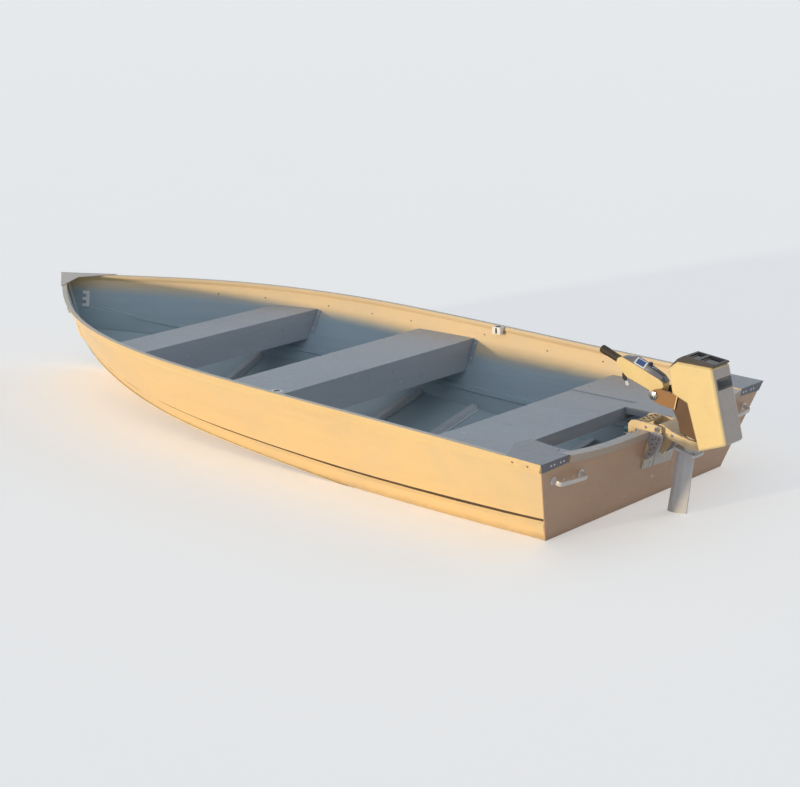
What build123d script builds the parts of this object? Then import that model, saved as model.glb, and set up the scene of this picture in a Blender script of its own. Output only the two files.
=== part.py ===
from build123d import *
import math
import os

# Sizes are millimetres. +X points to the bow, +Y to port and +Z up, and Z = 0 is the water's surface.

# Driving dimensions of the hull
LENGTH = 3572.0      # from the transom's top to the fore end of the gunwales
HALF_BEAM = 708.0    # outside of the gunwale at the widest station
SHELL = 3.0          # hull plate thickness
GAP = 0.4            # space left between pieces that only touch
CORNER_Z = 335.0     # height of the transom's top corners
RAKE_X = 92.0        # how far forward the transom is at the water
RAKE = RAKE_X / CORNER_Z
STEM_Y = 8.0         # half width of the gap that the stem and keel close
GUNWALE_W = 20.0
GUNWALE_H = 42.0
LIFT = 8.0           # plate's top edge below the gunwale's top
TRANSOM_T = 4.0
STRAKE = 7.0         # depth of the ridge pressed along each bottom plate
GROOVE = 8.0         # depth of the groove pressed along each side plate
SIDE_SEAMS = [0.4566, 0.6996, 0.84]  # where the side's lengths of plate meet, as shares of LENGTH
SEAM = 0.1

# Lines of the hull, from the transom (0) to the stem (1). x is a share of LENGTH, y a share of the way
# from STEM_Y to HALF_BEAM, z a height, and groove its height as a share of the side's.
# part, gunwale x y z, chine x y z, groove, keel x z
LINES = [
    (0.00, 0.0000, 0.9886, 335, 0.0286, 0.7671, -35, 0.320, 0.0339, -104),
    (0.10, 0.1002, 0.9857, 344, 0.1148, 0.7829, -31, 0.285, 0.1232, -107),
    (0.20, 0.2007, 0.9871, 353, 0.2100, 0.7900, -20, 0.250, 0.2212, -109),
    (0.30, 0.3010, 0.9943, 361, 0.3066, 0.7900, -2, 0.212, 0.3163, -108),
    (0.40, 0.4012, 1.0000, 370, 0.4031, 0.7843, 20, 0.186, 0.4115, -105),
    (0.50, 0.5014, 0.9914, 379, 0.4983, 0.7671, 42, 0.170, 0.5067, -99),
    (0.60, 0.6019, 0.9543, 389, 0.5921, 0.7243, 64, 0.160, 0.6019, -89),
    (0.70, 0.7021, 0.8557, 399, 0.6859, 0.6343, 91, 0.150, 0.6971, -72),
    (0.80, 0.8024, 0.6729, 411, 0.7811, 0.4914, 127, 0.145, 0.7923, -42),
    (0.90, 0.9029, 0.3700, 424, 0.8749, 0.2857, 163, 0.190, 0.8875, 14),
    (1.00, 1.0000, 0.0000, 440, 0.9726, 0.0000, 192, 0.450, 0.9692, 150),
]
STATIONS = [0.0, 0.08, 0.17, 0.27, 0.37, 0.47, 0.57, 0.66, 0.75, 0.83, 0.90, 0.955, 1.0]

# Seats: name, aft and fore edge as shares of LENGTH, top z, face depth
SEATS = {
    "bow_seat": (0.6671, 0.7321, 318, 131),
    "middle_seat": (0.4118, 0.5014, 296, 137),
    "stern_seat": (0.1044, 0.1946, 253.2, 52),
}
SEAT_T = 2.5
SEAT_CLEAR = 0.45    # beyond the plate's inner face, with what the smooth plate bulges between stations
BENCH_TOP = 256.0
BENCH_SEAM_Y = 0.5268 * HALF_BEAM
BENCH_INNER_Y = 0.4195 * HALF_BEAM
RIBS_AT = [0.2002, 0.2912, 0.3821, 0.4731, 0.5641, 0.7245]
RIB_W = 60.0
RIB_H = 20.0
OARLOCK_X = 0.37375 * LENGTH
OARLOCK_R = 6.5

# The motor is drawn on its own leg's axis, then leaned to the transom's rake.
LEAN = 13.0
LEG_X = -85.0        # where the leg's axis meets the water
PROP_Z = -385.0      # height of the propeller's axis on the leg's own scale
JOURNAL_R = 30.0     # leg's round journal in the swivel
JOURNAL_TOP = 315.7  # its top, where the neck sits
PIVOT_X = 183.0      # tiller's pivot on the leg's own scale
PIVOT_Z = 410.0


def spline(column, at):
    """Value of a column of LINES at a part of the hull's length, on a smooth curve."""
    rows = LINES
    n = len(rows)
    i = max(0, min(n - 2, int(at * (n - 1))))
    t = (at - rows[i][0]) / (rows[i + 1][0] - rows[i][0])
    p1, p2 = rows[i][column], rows[i + 1][column]
    p0 = rows[i - 1][column] if i > 0 else 2 * p1 - p2
    p3 = rows[i + 2][column] if i + 2 < n else 2 * p2 - p1
    square = 2 * p0 - 5 * p1 + 4 * p2 - p3
    cube = 3 * p1 - p0 - 3 * p2 + p3
    return 0.5 * (2 * p1 + (p2 - p0) * t + square * t * t + cube * t ** 3)


def half_width(column, at):
    return STEM_Y + (HALF_BEAM - STEM_Y) * spline(column, at)


def gunwale_at(at):
    return Vector(LENGTH * spline(1, at), half_width(2, at), spline(3, at))


def chine_at(at):
    return Vector(LENGTH * spline(4, at), half_width(5, at), spline(6, at))


def keel_at(at):
    return Vector(LENGTH * spline(8, at), STEM_Y, spline(9, at))


def part_for_x(line, x):
    """Part of the length at which a line of the hull reaches x."""
    low, high = 0.0, 1.0
    for _ in range(40):
        mid = (low + high) / 2
        if line(mid).X < x:
            low = mid
        else:
            high = mid
    return (low + high) / 2


CORNER_Y = gunwale_at(0.0).Y


def side_y(x, z):
    """Half width of the side's outer face at x and z, above the chine."""
    top = gunwale_at(part_for_x(gunwale_at, x))
    low = chine_at(part_for_x(chine_at, x))
    return low.Y + (top.Y - low.Y) * (z - low.Z) / (top.Z - low.Z)


def inside_y(x, z):
    """Half width left inside the side plate at x and z, with a seat's clearance."""
    flare = (side_y(x, z + 20) - side_y(x, z - 20)) / 40
    slope = (side_y(x + 40, z) - side_y(x - 40, z)) / 80
    return side_y(x, z) - (4 + SHELL) * math.sqrt(1 + flare ** 2 + slope ** 2) - SEAT_CLEAR


def floor_z(x, y):
    """Height of the bottom's inner face at x and y, inside the chine."""
    def across(at):
        low, edge = keel_at(at), chine_at(at)
        return low + (edge - low) * ((y - STEM_Y) / (edge.Y - STEM_Y))
    at = part_for_x(across, x)
    low, edge = keel_at(at), chine_at(at)
    slope = (edge.Z - low.Z) / (edge.Y - low.Y)
    return across(at).Z + SHELL * math.sqrt(1 + slope ** 2)


def frame_of(low_line, high_line, at):
    """Lower point, way up and normal of the surface between two lines at a station."""
    foot, top = low_line(at), high_line(at)
    step = 0.01
    a, b = max(0.0, at - step), min(1.0, at + step)
    along = (low_line(b) - low_line(a) + high_line(b) - high_line(a)).normalized()
    return foot, top - foot, (top - foot).cross(along).normalized()


def frame_on_side(at):
    """Chine point, way up the side and outward normal at a station."""
    foot, up, out = frame_of(chine_at, gunwale_at, at)
    return foot, up, out if out.Y > 0 else out * -1


def frame_on_bottom(at):
    """Keel point, way out to the chine and inward normal at a station."""
    foot, way, inward = frame_of(keel_at, chine_at, at)
    return foot, way, inward if inward.Z > 0 else inward * -1


def settle(point, at, line=gunwale_at):
    """Moves a section's point on to the transom's front face or the stem's side."""
    if at <= 0.0:
        back = (TRANSOM_T + 2 * GAP) * math.hypot(1, RAKE)
        return Vector(RAKE * (CORNER_Z - point.Z) + back, point.Y, point.Z)
    if at >= 1.0:
        along = (line(1.0) - line(0.97)).normalized()
        return point + along * ((STEM_Y - point.Y) / along.Y)
    return point


def foot_height(at, inset):
    """How far up the side its foot starts, to stand clear of the bottom's edge."""
    _, up, out = frame_on_side(at)
    inward = frame_on_bottom(at)[2]
    rise = up.normalized().dot(inward)
    if rise < 0.2:
        return -8.0
    return max(-8.0, (SHELL + 0.8 + inset * out.dot(inward)) / rise)


def side_points(at):
    """Outer and inner corners of the side plate, from the top edge down and back."""
    foot, up, out = frame_on_side(at)
    high = up.length
    unit = up.normalized()
    groove = spline(7, at) * high
    open_h = 11.0 - 6.0 * at
    deep = 4.0 + GROOVE * min(1.0, max(0.0, (0.97 - at) / 0.1))
    rail_low = 0.64 * (groove - open_h - 5)
    top = high - LIFT
    outer = [
        (top, -4.0), (groove + open_h + 3, -4.0), (groove + open_h, -deep), (groove - open_h + 4, -deep),
        (groove - open_h - 4, -1.0), (rail_low, -1.0), (rail_low - 3, -6.0), (foot_height(at, 6.0), -6.0),
    ]
    inner = [
        (foot_height(at, 6.0 + SHELL), -6.0 - SHELL), (rail_low - 3, -6.0 - SHELL), (groove - open_h - 4, -9.0),
        (groove - open_h, -deep - SHELL), (groove + open_h + 2, -deep - SHELL),
        (groove + open_h + 6, -4.0 - SHELL), (top, -4.0 - SHELL),
    ]
    points = []
    for along_up, offset in outer + inner:
        points.append(settle(foot + unit * along_up + out * offset, at))
    return points


def loft_points(rows):
    return Solid.make_loft([Wire.make_polygon(points, close=True) for points in rows], False)


def both_sides(name, solid, pieces):
    pieces["port_" + name] = solid
    pieces["starboard_" + name] = mirror(solid, about=Plane.XZ)


def hull_side():
    """Side plate in four lengths, whose seams lie behind the seats' ends and near the bow."""
    plate = loft_points([side_points(at) for at in STATIONS])
    cuts = [Pos(share * LENGTH, HALF_BEAM / 2, CORNER_Z / 2) * Box(SEAM, 2 * HALF_BEAM, 3 * CORNER_Z) for share in SIDE_SEAMS]
    return Compound((plate - cuts).solids())


def bottom_points(at):
    """Outer and inner corners of the bottom plate, from the keel out to the chine and back."""
    foot, way, inward = frame_on_bottom(at)
    wide = way.length
    unit = way.normalized()
    ridge = STRAKE * min(1.0, (1.0 - at) / 0.2)
    start = -inward.Y * SHELL / unit.Y if at < 1.0 else 0.0
    edge = wide - 0.5
    outer = [(0, 0), (0.36 * wide, 0), (0.39 * wide, -ridge), (0.44 * wide, -ridge), (0.47 * wide, 0), (edge, 0)]
    low = SHELL - ridge * 0.93
    inner = [(edge, SHELL), (0.47 * wide, SHELL), (0.44 * wide, low), (0.39 * wide, low), (0.36 * wide, SHELL), (start, SHELL)]
    return [settle(foot + unit * across + inward * up, at, chine_at) for across, up in outer + inner]


def hull_bottom():
    return loft_points([bottom_points(at) for at in STATIONS])


# Gunwale's section: distance out, distance up, and whether out is level (1) or square to the side (0)
GUNWALE_SECTION = [
    (0, 0, 1), (-GUNWALE_W, 0, 1), (-GUNWALE_W, -12, 1), (-7.7, -30, 0), (-7.7, -7.3, 0), (-3.3, -7.3, 0),
    (-3.3, -GUNWALE_H, 0), (1.2, -GUNWALE_H, 0), (1.2, -GUNWALE_H + 4, 0), (0, -GUNWALE_H + 5, 0),
]


def gunwale_rail():
    """Extrusion that grips the side plate's top edge, with a lip along its foot."""
    rows = []
    for at in STATIONS:
        point = gunwale_at(at)
        _, up, out = frame_on_side(at)
        unit = up.normalized()
        level = Vector(out.X, out.Y, 0).normalized()
        row = []
        for across, rise, is_level in GUNWALE_SECTION:
            row.append(settle(point + unit * rise + (level if is_level else out) * across, at))
        rows.append(row)
    return loft_points(rows)


def rake_plane(forward=0.0):
    """Plane of the transom's aft face: local X to port, local Y up the face, normal aft."""
    up = Vector(-RAKE, 0, 1).normalized()
    return Plane(origin=(forward, 0, CORNER_Z), x_dir=(0, -1, 0), z_dir=(-up.Z, 0, up.X))


def face_drop(z):
    """Distance up the transom's face from the corner height to z."""
    return (z - CORNER_Z) * math.sqrt(1 + RAKE * RAKE)


# Top edge of the transom: half width as a share of CORNER_Y, and height, corner to the motor's seat
TOP_EDGE = [(1.0, 335), (0.8, 333), (0.65, 322), (0.5357, 313), (0.4286, 307.5), (0.3357, 305)]


def top_edge_points(lower):
    half = [(share * CORNER_Y, z - lower) for share, z in TOP_EDGE]
    return half + [(-y, z) for y, z in reversed(half)]


def face_solid(points, thick, forward, level=False):
    """Solid from outline points (y, z) on the transom's face, thick towards the bow, square to the face or level."""
    plane = rake_plane(forward)
    local = [(-y, face_drop(z)) for y, z in points]
    face = plane * make_face(Polyline(*local, close=True))
    if level:
        return extrude(face, amount=thick, dir=(1, 0, 0))
    return extrude(face, amount=-thick)


def transom_plate():
    edge = chine_at(0)
    low = keel_at(0)
    top = top_edge_points(3.2)
    top[0] = (CORNER_Y - 4, top[0][1])
    top[-1] = (4 - CORNER_Y, top[-1][1])
    foot = [(2 - edge.Y, edge.Z), (-STEM_Y, low.Z), (STEM_Y, low.Z), (edge.Y - 2, edge.Z)]
    return face_solid(top + foot, TRANSOM_T, 0)


def transom_cap():
    inside = CORNER_Y - 160
    upper = [(y, z + 2.5) for y, z in top_edge_points(0) if abs(y) < 0.81 * CORNER_Y]
    upper[0] = (inside, upper[0][1])
    upper[-1] = (-inside, upper[-1][1])
    lower = [(y, z - 29) for y, z in reversed(upper)]
    band = face_solid(upper + lower, 46, -8, True)
    slot_top = [(y, z - 4) for y, z in upper]
    slot_top[0] = (inside + 20, slot_top[0][1])
    slot_top[-1] = (-inside - 20, slot_top[-1][1])
    slot_low = [(y, z - 60) for y, z in reversed(slot_top)]
    slot = face_solid(slot_top + slot_low, TRANSOM_T * 1.04 + 2 * GAP, -GAP, True)
    under = face_solid(slot_top + slot_low, 27, TRANSOM_T + 4, True)
    return band - slot - under


def transom_pad():
    points = [(66, 272), (66, 150), (-150, 138), (-150, 272)]
    return face_solid(points, 7, -7 - GAP)


def corner_cap():
    """Cap over a stern corner: a top plate with flanges down the side and the transom."""
    along = gunwale_at(0.05) - gunwale_at(0)
    slope = along.Z / along.X
    over = Plane(origin=(0, 0, CORNER_Z + GAP), x_dir=Vector(1, 0, slope).normalized(), z_dir=Vector(-slope, 0, 1).normalized())
    fore = 156
    half = [(-2.6, 3.5), (fore, 2.5), (fore + 4, -18), (224, -130), (205, -206), (62, -188), (50, -154), (-2.6, -154)]
    outline = [(x, CORNER_Y + y) for x, y in half]
    plate = extrude(over * make_face(Polyline(*outline, close=True)), amount=2.5)
    rows = []
    for x in (0, fore / 3, 2 * fore / 3, fore):
        at = part_for_x(gunwale_at, x) if x else 0.0
        point = gunwale_at(at)
        _, up, out = frame_on_side(at)
        unit = up.normalized()
        row = []
        for across, rise in ((0.5, 1.6), (3.0, 1.6), (3.0, -34), (0.5, -34)):
            corner = point + unit * rise + out * across
            row.append(Vector(corner.X - 2.6 + (RAKE * (CORNER_Z - corner.Z) if at == 0 else 2.6), corner.Y, corner.Z))
        rows.append(row)
    side = loft_points(rows)
    drop = [(CORNER_Y + 2, CORNER_Z + 1), (CORNER_Y - 154, CORNER_Z + 1), (CORNER_Y - 154, 306), (CORNER_Y - 12, 300)]
    flange = face_solid(drop, 2.2, -2.6)
    return plate + side + flange


def seat_ends(name):
    aft, fore, top, depth = SEATS[name]
    return aft * LENGTH, fore * LENGTH, top, depth


def seat(name):
    """Inverted box seat, trimmed to the sides, open underneath."""
    aft, fore, top, depth = seat_ends(name)
    def section(x, up, down, beyond):
        y_top = inside_y(x, up) + beyond
        y_low = inside_y(x, down) + beyond
        corners = [Vector(x, -y_top, up), Vector(x, y_top, up), Vector(x, y_low, down), Vector(x, -y_low, down)]
        return Wire.make_polygon(corners, close=True)
    middle = (aft + fore) / 2
    outer = Solid.make_loft([section(x, top, top - depth, 0) for x in (aft, middle, fore)], True)
    hollow = [section(x, top - SEAT_T, top - depth - 1, 6) for x in (aft + SEAT_T, middle, fore - SEAT_T)]
    return outer - Solid.make_loft(hollow, True)


def quarter_bench():
    """Seat plate along the side from the stern seat to the transom, with a folded inner edge."""
    aft_seat, fore, _, _ = seat_ends("stern_seat")
    top = BENCH_TOP
    aft_x = RAKE * (CORNER_Z - top) + TRANSOM_T + 8
    corner = aft_seat - 4
    outline = [(aft_x, BENCH_INNER_Y), (corner, BENCH_INNER_Y), (corner, BENCH_SEAM_Y), (fore, BENCH_SEAM_Y)]
    for share in (1.0, 0.75, 0.5, 0.25, 0.0):
        x = aft_x + share * (fore - aft_x)
        outline.append((x, inside_y(x, top - SEAT_T)))
    plate = extrude(Plane.XY.offset(top - SEAT_T) * make_face(Polyline(*outline, close=True)), amount=SEAT_T)
    fold = Pos((aft_x + corner) / 2, BENCH_INNER_Y + SEAT_T / 2, top - 14) * Box(corner - aft_x, SEAT_T, 28)
    return plate + fold


def rib(x):
    """Hat section across the bottom, chine to chine, with narrow flanges."""
    side = min(chine_at(part_for_x(chine_at, x + d)).Y for d in (-RIB_W / 2, RIB_W / 2)) - 16
    def profile(at_x, high):
        half = [(side, floor_z(at_x, side)), (side / 2, floor_z(at_x, side / 2)), (20, floor_z(at_x, 20))]
        line = [(-y, z) for y, z in half] + [(y, z) for y, z in reversed(half)]
        points = [Vector(at_x, y, z + GAP + high) for y, z in line]
        points += [Vector(at_x, y, z + GAP + 0.2) for y, z in reversed(line)]
        return Wire.make_polygon(points, close=True)
    half_w = RIB_W / 2
    steps = [(-half_w, 3.0), (-half_w + 10, 3.4), (-half_w + 16, RIB_H), (half_w - 16, RIB_H), (half_w - 10, 3.4), (half_w, 3.0)]
    return Solid.make_loft([profile(x + across, high) for across, high in steps], True)


def keel_bar():
    rows = []
    for at in (0.004, 0.1, 0.25, 0.4, 0.55, 0.7, 0.8, 0.9, 0.97):
        point = keel_at(at)
        z = point.Z
        half = STEM_Y - GAP
        rows.append([Vector(point.X, -half, z + 1), Vector(point.X, half, z + 1), Vector(point.X, half, z - 2),
                     Vector(point.X, 5, z - 16), Vector(point.X, -5, z - 16), Vector(point.X, -half, z - 2)])
    return loft_points(rows)


def stem_bar():
    """Bar that closes the bow from the keel's end to under the bow plate."""
    start, knee, turn, top = keel_at(0.971), keel_at(1.0), chine_at(1.0), gunwale_at(1.0)
    front = [(start, 0, -15), (knee, 6, -6), (turn, 10, -1), (top, -42, -140), (top, -6, -46), (top, 0.1, -36), (top, 0.1, -9)]
    back = [(top, -24, -6), (top, -72, -130), (turn, -16, 4), (knee, -16, 8), (start, 0, 8)]
    outline = [(point.X + x, point.Z + z) for point, x, z in front + back]
    face = Plane.XZ * make_face(Polyline(*outline, close=True))
    return extrude(face, amount=STEM_Y - GAP, both=True)


def bow_plate():
    """Small deck over the point of the bow, with a rounded turned-down nose."""
    tip = gunwale_at(1.0)
    slope = (tip.Z - spline(3, 0.93)) / (tip.X - gunwale_at(0.93).X)
    over = Plane(origin=(tip.X, 0, tip.Z + GAP + 0.5), x_dir=Vector(1, 0, slope).normalized(), z_dir=Vector(-slope, 0, 1).normalized())
    edge = []
    for at in (1.0, 0.985, 0.965, 0.94):
        point = gunwale_at(at)
        edge.append((point.X - tip.X, point.Y + 5.5))
    half = [(13.5, 0), (12, 7), (7, 12)] + edge
    outline = half + [(-120, 0)] + [(x, -y) for x, y in reversed(half[1:])]
    plate = extrude(over * make_face(Polyline(*outline, close=True)), amount=3)
    rows = []
    for drop, scale in ((1.0, 1.0), (-44.0, 0.5)):
        ring = [(13.5 * scale, 0), (12 * scale, 7), (7 * scale, 12), (0.6, 13)]
        ring = ring + [(x, -y) for x, y in reversed(ring[1:])]
        rows.append([over.from_local_coords(Vector(x, y, drop)) for x, y in ring])
    nose = Solid.make_loft([Wire.make_polygon(points, close=True) for points in rows], True)
    return plate + nose


def grab_handle(y0, z0, y1, z1):
    """Round bar standing off the transom on two feet, between two points of its face."""
    plane = rake_plane(0)
    a = plane.from_local_coords(Vector(-y0, face_drop(z0), 0))
    b = plane.from_local_coords(Vector(-y1, face_drop(z1), 0))
    out = plane.z_dir
    reach = 34
    path = Polyline(a + out * 1.0, a + out * reach, b + out * reach, b + out * 1.0)
    profile = Plane(origin=a + out * 1.0, z_dir=out) * Circle(5.5)
    bar = sweep(profile, path=path, transition=Transition.ROUND)
    feet = []
    for point in (a, b):
        feet.append(Plane(origin=point + out * GAP, z_dir=out) * extrude(Circle(13), amount=3))
    return bar + feet[0] + feet[1]


def oarlock_socket():
    """Block inside the gunwale with an upright bore for the oarlock's pin."""
    at = part_for_x(gunwale_at, OARLOCK_X)
    top = gunwale_at(at)
    _, up, _ = frame_on_side(at)
    centre_y = top.Y - GUNWALE_W - 13
    block = Pos(OARLOCK_X, centre_y, top.Z - 16) * Box(46, 34, 32)
    face = top - Vector(0, GUNWALE_W + GAP, 0)
    cut = Plane(origin=face, x_dir=(1, 0, 0), z_dir=Vector(0, -up.Z, up.Y).normalized() * -1)
    block = block - cut * Pos(0, 0, 30) * Box(80, 120, 60)
    bore = Pos(OARLOCK_X, centre_y - 1, top.Z - 16) * Cylinder(OARLOCK_R, 40)
    return block - bore


def bow_cleat():
    """Three-pronged fitting on the inside of the bow plate, prongs towards the stem."""
    at = 0.98
    _, up, out = frame_on_side(at)
    along = (gunwale_at(at + 0.01) - gunwale_at(at - 0.01)).normalized()
    unit = up.normalized()
    origin = gunwale_at(at) - unit * 128 - out * (4 + SHELL + 1.7)
    plane = Plane(origin=origin, x_dir=along, z_dir=out * -1)
    back = plane * Pos(0, 0, 3) * Box(16, 78, 6)
    legs = [plane * Pos(16, d, 3) * Box(20, 15, 6) for d in (-31, 0, 31)]
    return mirror(back + legs[0] + legs[1] + legs[2], about=Plane.XZ)


def bow_eye():
    """Ring bolt on the stem for the mooring rope."""
    z = 262
    x = LENGTH - 53
    foot = Pos(x + 3, 0, z) * Rot(0, 90, 0) * Cylinder(11, 6)
    ring = Pos(x + 22, 0, z) * Rot(90, 0, 0) * Torus(16, 4)
    return foot + ring


def lean(solid):
    """Puts a motor piece drawn on an upright leg where the leaned motor has it."""
    return Pos(LEG_X, 0, 0) * Rot(0, -LEAN, 0) * solid


# Motor pieces below are drawn with aft as -X, so the leg's axis is X = 0 before it is leaned.
def side_slab(points, half):
    """Slab from an outline in x and z, symmetric about the centre plane."""
    face = Plane.XZ * make_face(Polyline(*points, close=True))
    return extrude(face, amount=half, both=True)


def motor_head():
    """Tall box of the motor, rounded along its aft corners and bevelled along the rest."""
    outline = [(136, 542), (108, 578), (-40, 612), (-168, 361), (-62, 292), (30, 446), (98, 456)]
    shell = side_slab(outline, 60)
    aft = [e for e in shell.edges() if abs(e.center().Y) > 59 and e.center().X < -100 and e.center().Z > 400]
    shell = fillet(aft, 18)
    rest = [e for e in shell.edges() if abs(e.center().Y) > 59.5]
    return chamfer(rest, 7)


def motor_lid():
    outline = [(136.2, 542.6), (108.2, 578.5), (-41, 612.8), (-32, 640), (92, 612), (112, 604)]
    lid = side_slab(outline, 56)
    grip = Pos(20, 0, 634) * Rot(0, 13, 0) * Box(70, 60, 26)
    return lid - grip


def motor_neck():
    """Frame that carries the head and the tiller's pivot, with two cheeks forward."""
    body = side_slab([(92, 454.6), (30.4, 445.5), (-47.2, 316), (44, 316), (60, 352), (92, 388)], 34)
    cheek = side_slab([(84, 449), (84, 393), (150, 386), (196, 394), (202, 412), (190, 428), (160, 445)], 40)
    slot = side_slab([(240, 470), (104, 470), (104, 370), (240, 370)], 27)
    bore = Pos(PIVOT_X, 0, PIVOT_Z) * Rot(90, 0, 0) * Cylinder(7.0, 120)
    return body + (cheek - slot) - bore


def tiller_pin():
    pin = Pos(PIVOT_X, 0, PIVOT_Z) * Rot(90, 0, 0) * Cylinder(6.96, 84)
    head_a = Pos(PIVOT_X, 43.5, PIVOT_Z) * Rot(90, 0, 0) * Cylinder(14, 6)
    head_b = Pos(PIVOT_X, -43.5, PIVOT_Z) * Rot(90, 0, 0) * Cylinder(14, 6)
    return pin + head_a + head_b


def on_tiller(solid):
    return Pos(PIVOT_X, 0, PIVOT_Z) * Rot(0, -7.0, 0) * solid


def tiller_body():
    outline = [(-20, -8), (-12, -20), (14, -20), (37, -2), (142, -6), (186, 12), (204, 18), (204, 44), (168, 70), (20, 75), (-14, 60)]
    bore = Rot(90, 0, 0) * Cylinder(7.02, 80)
    return on_tiller(side_slab(outline, 22) - bore)


def tiller_top():
    outline = [(24, 75.3), (150, 71.1), (160, 77), (150, 86), (60, 90), (24, 84)]
    return on_tiller(side_slab(outline, 20))


def tiller_grip():
    bar = Pos(204.4, 0, 31) * Rot(0, 90, 0) * extrude(Circle(16), amount=88)
    return on_tiller(bar)


def aerofoil(chord, thick, centre=0.0):
    """Outline of the leg's section: x from leading (+) to trailing edge."""
    half = chord / 2
    fore = [(half, 0), (half * 0.86, thick * 0.34), (half * 0.45, thick * 0.5), (-half * 0.2, thick * 0.46), (-half * 0.8, thick * 0.2), (-half, 3)]
    back = [(x, -y) for x, y in reversed(fore) if y > 0]
    return [(x + centre, y) for x, y in fore + back]


# The leg's blade: height, chord, thickness and how far its middle is ahead of the axis
LEG_TOP = (246, 72, 34, 20)
LEG_WATER = (-12, 83, 38, -2)
LEG_FOOT = (-285, 94, 40, -16)


def leg_section(row):
    z, chord, thick, centre = row
    return Wire.make_polygon([Vector(x, y, z) for x, y in aerofoil(chord, thick, centre)], close=True)


def leg():
    """Tapered leg under the swivel, with the round journal that turns in it."""
    foot = (Align.CENTER, Align.CENTER, Align.MIN)
    blade = Solid.make_loft([leg_section(row) for row in (LEG_FOOT, LEG_WATER, LEG_TOP)], True)
    flange = Pos(10, 0, 245) * extrude(RectangleRounded(96, 72, 14), amount=10)
    journal = Pos(0, 0, 254) * Cylinder(JOURNAL_R, JOURNAL_TOP - 254, align=foot)
    return blade + flange + journal


def leg_cuff():
    low = (PROP_Z + 20, 130, 50, -6)
    high = (LEG_FOOT[0] - GAP, LEG_FOOT[1] + 8, LEG_FOOT[2] + 4, LEG_FOOT[3])
    return Solid.make_loft([leg_section(low), leg_section(high)], True) - pod_body(GAP)


def pod_body(grow=0.0):
    """Round body on the propeller's axis."""
    outline = [(150 + grow, 0), (140, 22 + grow), (112, 38 + grow), (70, 47 + grow), (-70, 49 + grow), (-110, 44 + grow), (-128, 38 + grow), (-128, 0)]
    face = Plane.XZ * make_face(Polyline(*outline, close=True))
    return Pos(0, 0, PROP_Z) * revolve(face, axis=Axis.X, revolution_arc=360)


def pod():
    bore = Pos(-60, 0, PROP_Z) * Rot(0, -90, 0) * Cylinder(6.5, 90, align=(Align.CENTER, Align.CENTER, Align.MIN))
    return pod_body() - bore


def skeg():
    outline = [(20, PROP_Z - 30), (-70, PROP_Z - 30), (-96, PROP_Z - 150), (-56, PROP_Z - 158)]
    return side_slab(outline, 4) - pod_body(GAP)


def propeller_blade():
    """Twisted blade, drawn up from the shaft's axis."""
    sections = []
    for radius, chord, twist in ((26, 46, 48), (70, 66, 34), (115, 52, 24), (138, 24, 20)):
        half = chord / 2
        turn = math.radians(twist)
        points = []
        for x, y in ((half, 0), (0, 3.2), (-half, 0), (0, -3.2)):
            points.append(Vector(x * math.sin(turn) - y * math.cos(turn), x * math.cos(turn) + y * math.sin(turn), radius))
        sections.append(Wire.make_polygon(points, close=True))
    return Solid.make_loft(sections, True)


def propeller():
    stand = (Align.CENTER, Align.CENTER, Align.MIN)
    hub = Pos(-133, 0, PROP_Z) * Rot(0, -90, 0) * Cone(37, 24, 62, align=stand)
    shaft = Pos(-62, 0, PROP_Z) * Rot(0, -90, 0) * Cylinder(6.45, 78, align=stand)
    body = hub + shaft
    for turn in (0, 180):
        body = body + Pos(-162, 0, PROP_Z) * Rot(turn, 0, 0) * propeller_blade()
    return body


# The clamp is drawn in the boat's frame, on the transom's top at the centre.
TILT_X, TILT_Z = -36.0, 322.0


def clamp_bracket():
    """Two cheeks hooked over the transom, joined by a web, with the tilt pin's bores."""
    cheek = [
        (96, 296), (96, 322), (84, 336), (62, 340), (-22, 336), (-50, 330), (-52, 312), (-34, 296), (-14, 236),
        (20, 188), (31, 192), (11.8, 262), (6.6, 280), (-1.3, 307.9), (64, 307.9), (64, 236), (92, 228),
    ]
    out = []
    for side in (1, -1):
        slab = Pos(0, side * 58, 0) * extrude(Plane.XZ * make_face(Polyline(*cheek, close=True)), amount=4, both=True)
        out.append(slab)
    web_top = Pos(44, 0, 334) * Box(40, 110, 6)
    web_front = Pos(80, 0, 258) * Box(14, 110, 46)
    body = out[0] + out[1] + web_top + web_front
    for y in (30, -30):
        body = body - clamp_place(y) * Cylinder(7.0, 120, align=(Align.CENTER, Align.CENTER, Align.MIN))
    bore = Pos(TILT_X, 0, TILT_Z) * Rot(90, 0, 0) * Cylinder(6.5, 140)
    return body - bore


def clamp_place(y):
    """Foot of a clamp screw on the transom's front face, with Z along the screw."""
    z = 244
    x = RAKE * (CORNER_Z - z) + (TRANSOM_T + GAP) * math.hypot(1, RAKE)
    return Plane(origin=(x, y, z), x_dir=(0, 1, 0), z_dir=Vector(1, 0, RAKE).normalized())


def clamp_screw(y):
    stand = (Align.CENTER, Align.CENTER, Align.MIN)
    disc = Cylinder(15, 6, align=stand)
    shaft = Cylinder(6.94, 104, align=stand)
    bar = Pos(0, 0, 101) * Rot(0, 0, 0 if y > 0 else 50) * Box(12, 46, 9)
    return clamp_place(y) * (disc + shaft + bar)


def tilt_pin():
    pin = Pos(TILT_X, 0, TILT_Z) * Rot(90, 0, 0) * Cylinder(6.46, 132)
    nuts = [Pos(TILT_X, side * 66, TILT_Z) * Rot(90, 0, 0) * Cylinder(10, 6) for side in (1, -1)]
    return pin + nuts[0] + nuts[1]


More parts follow.
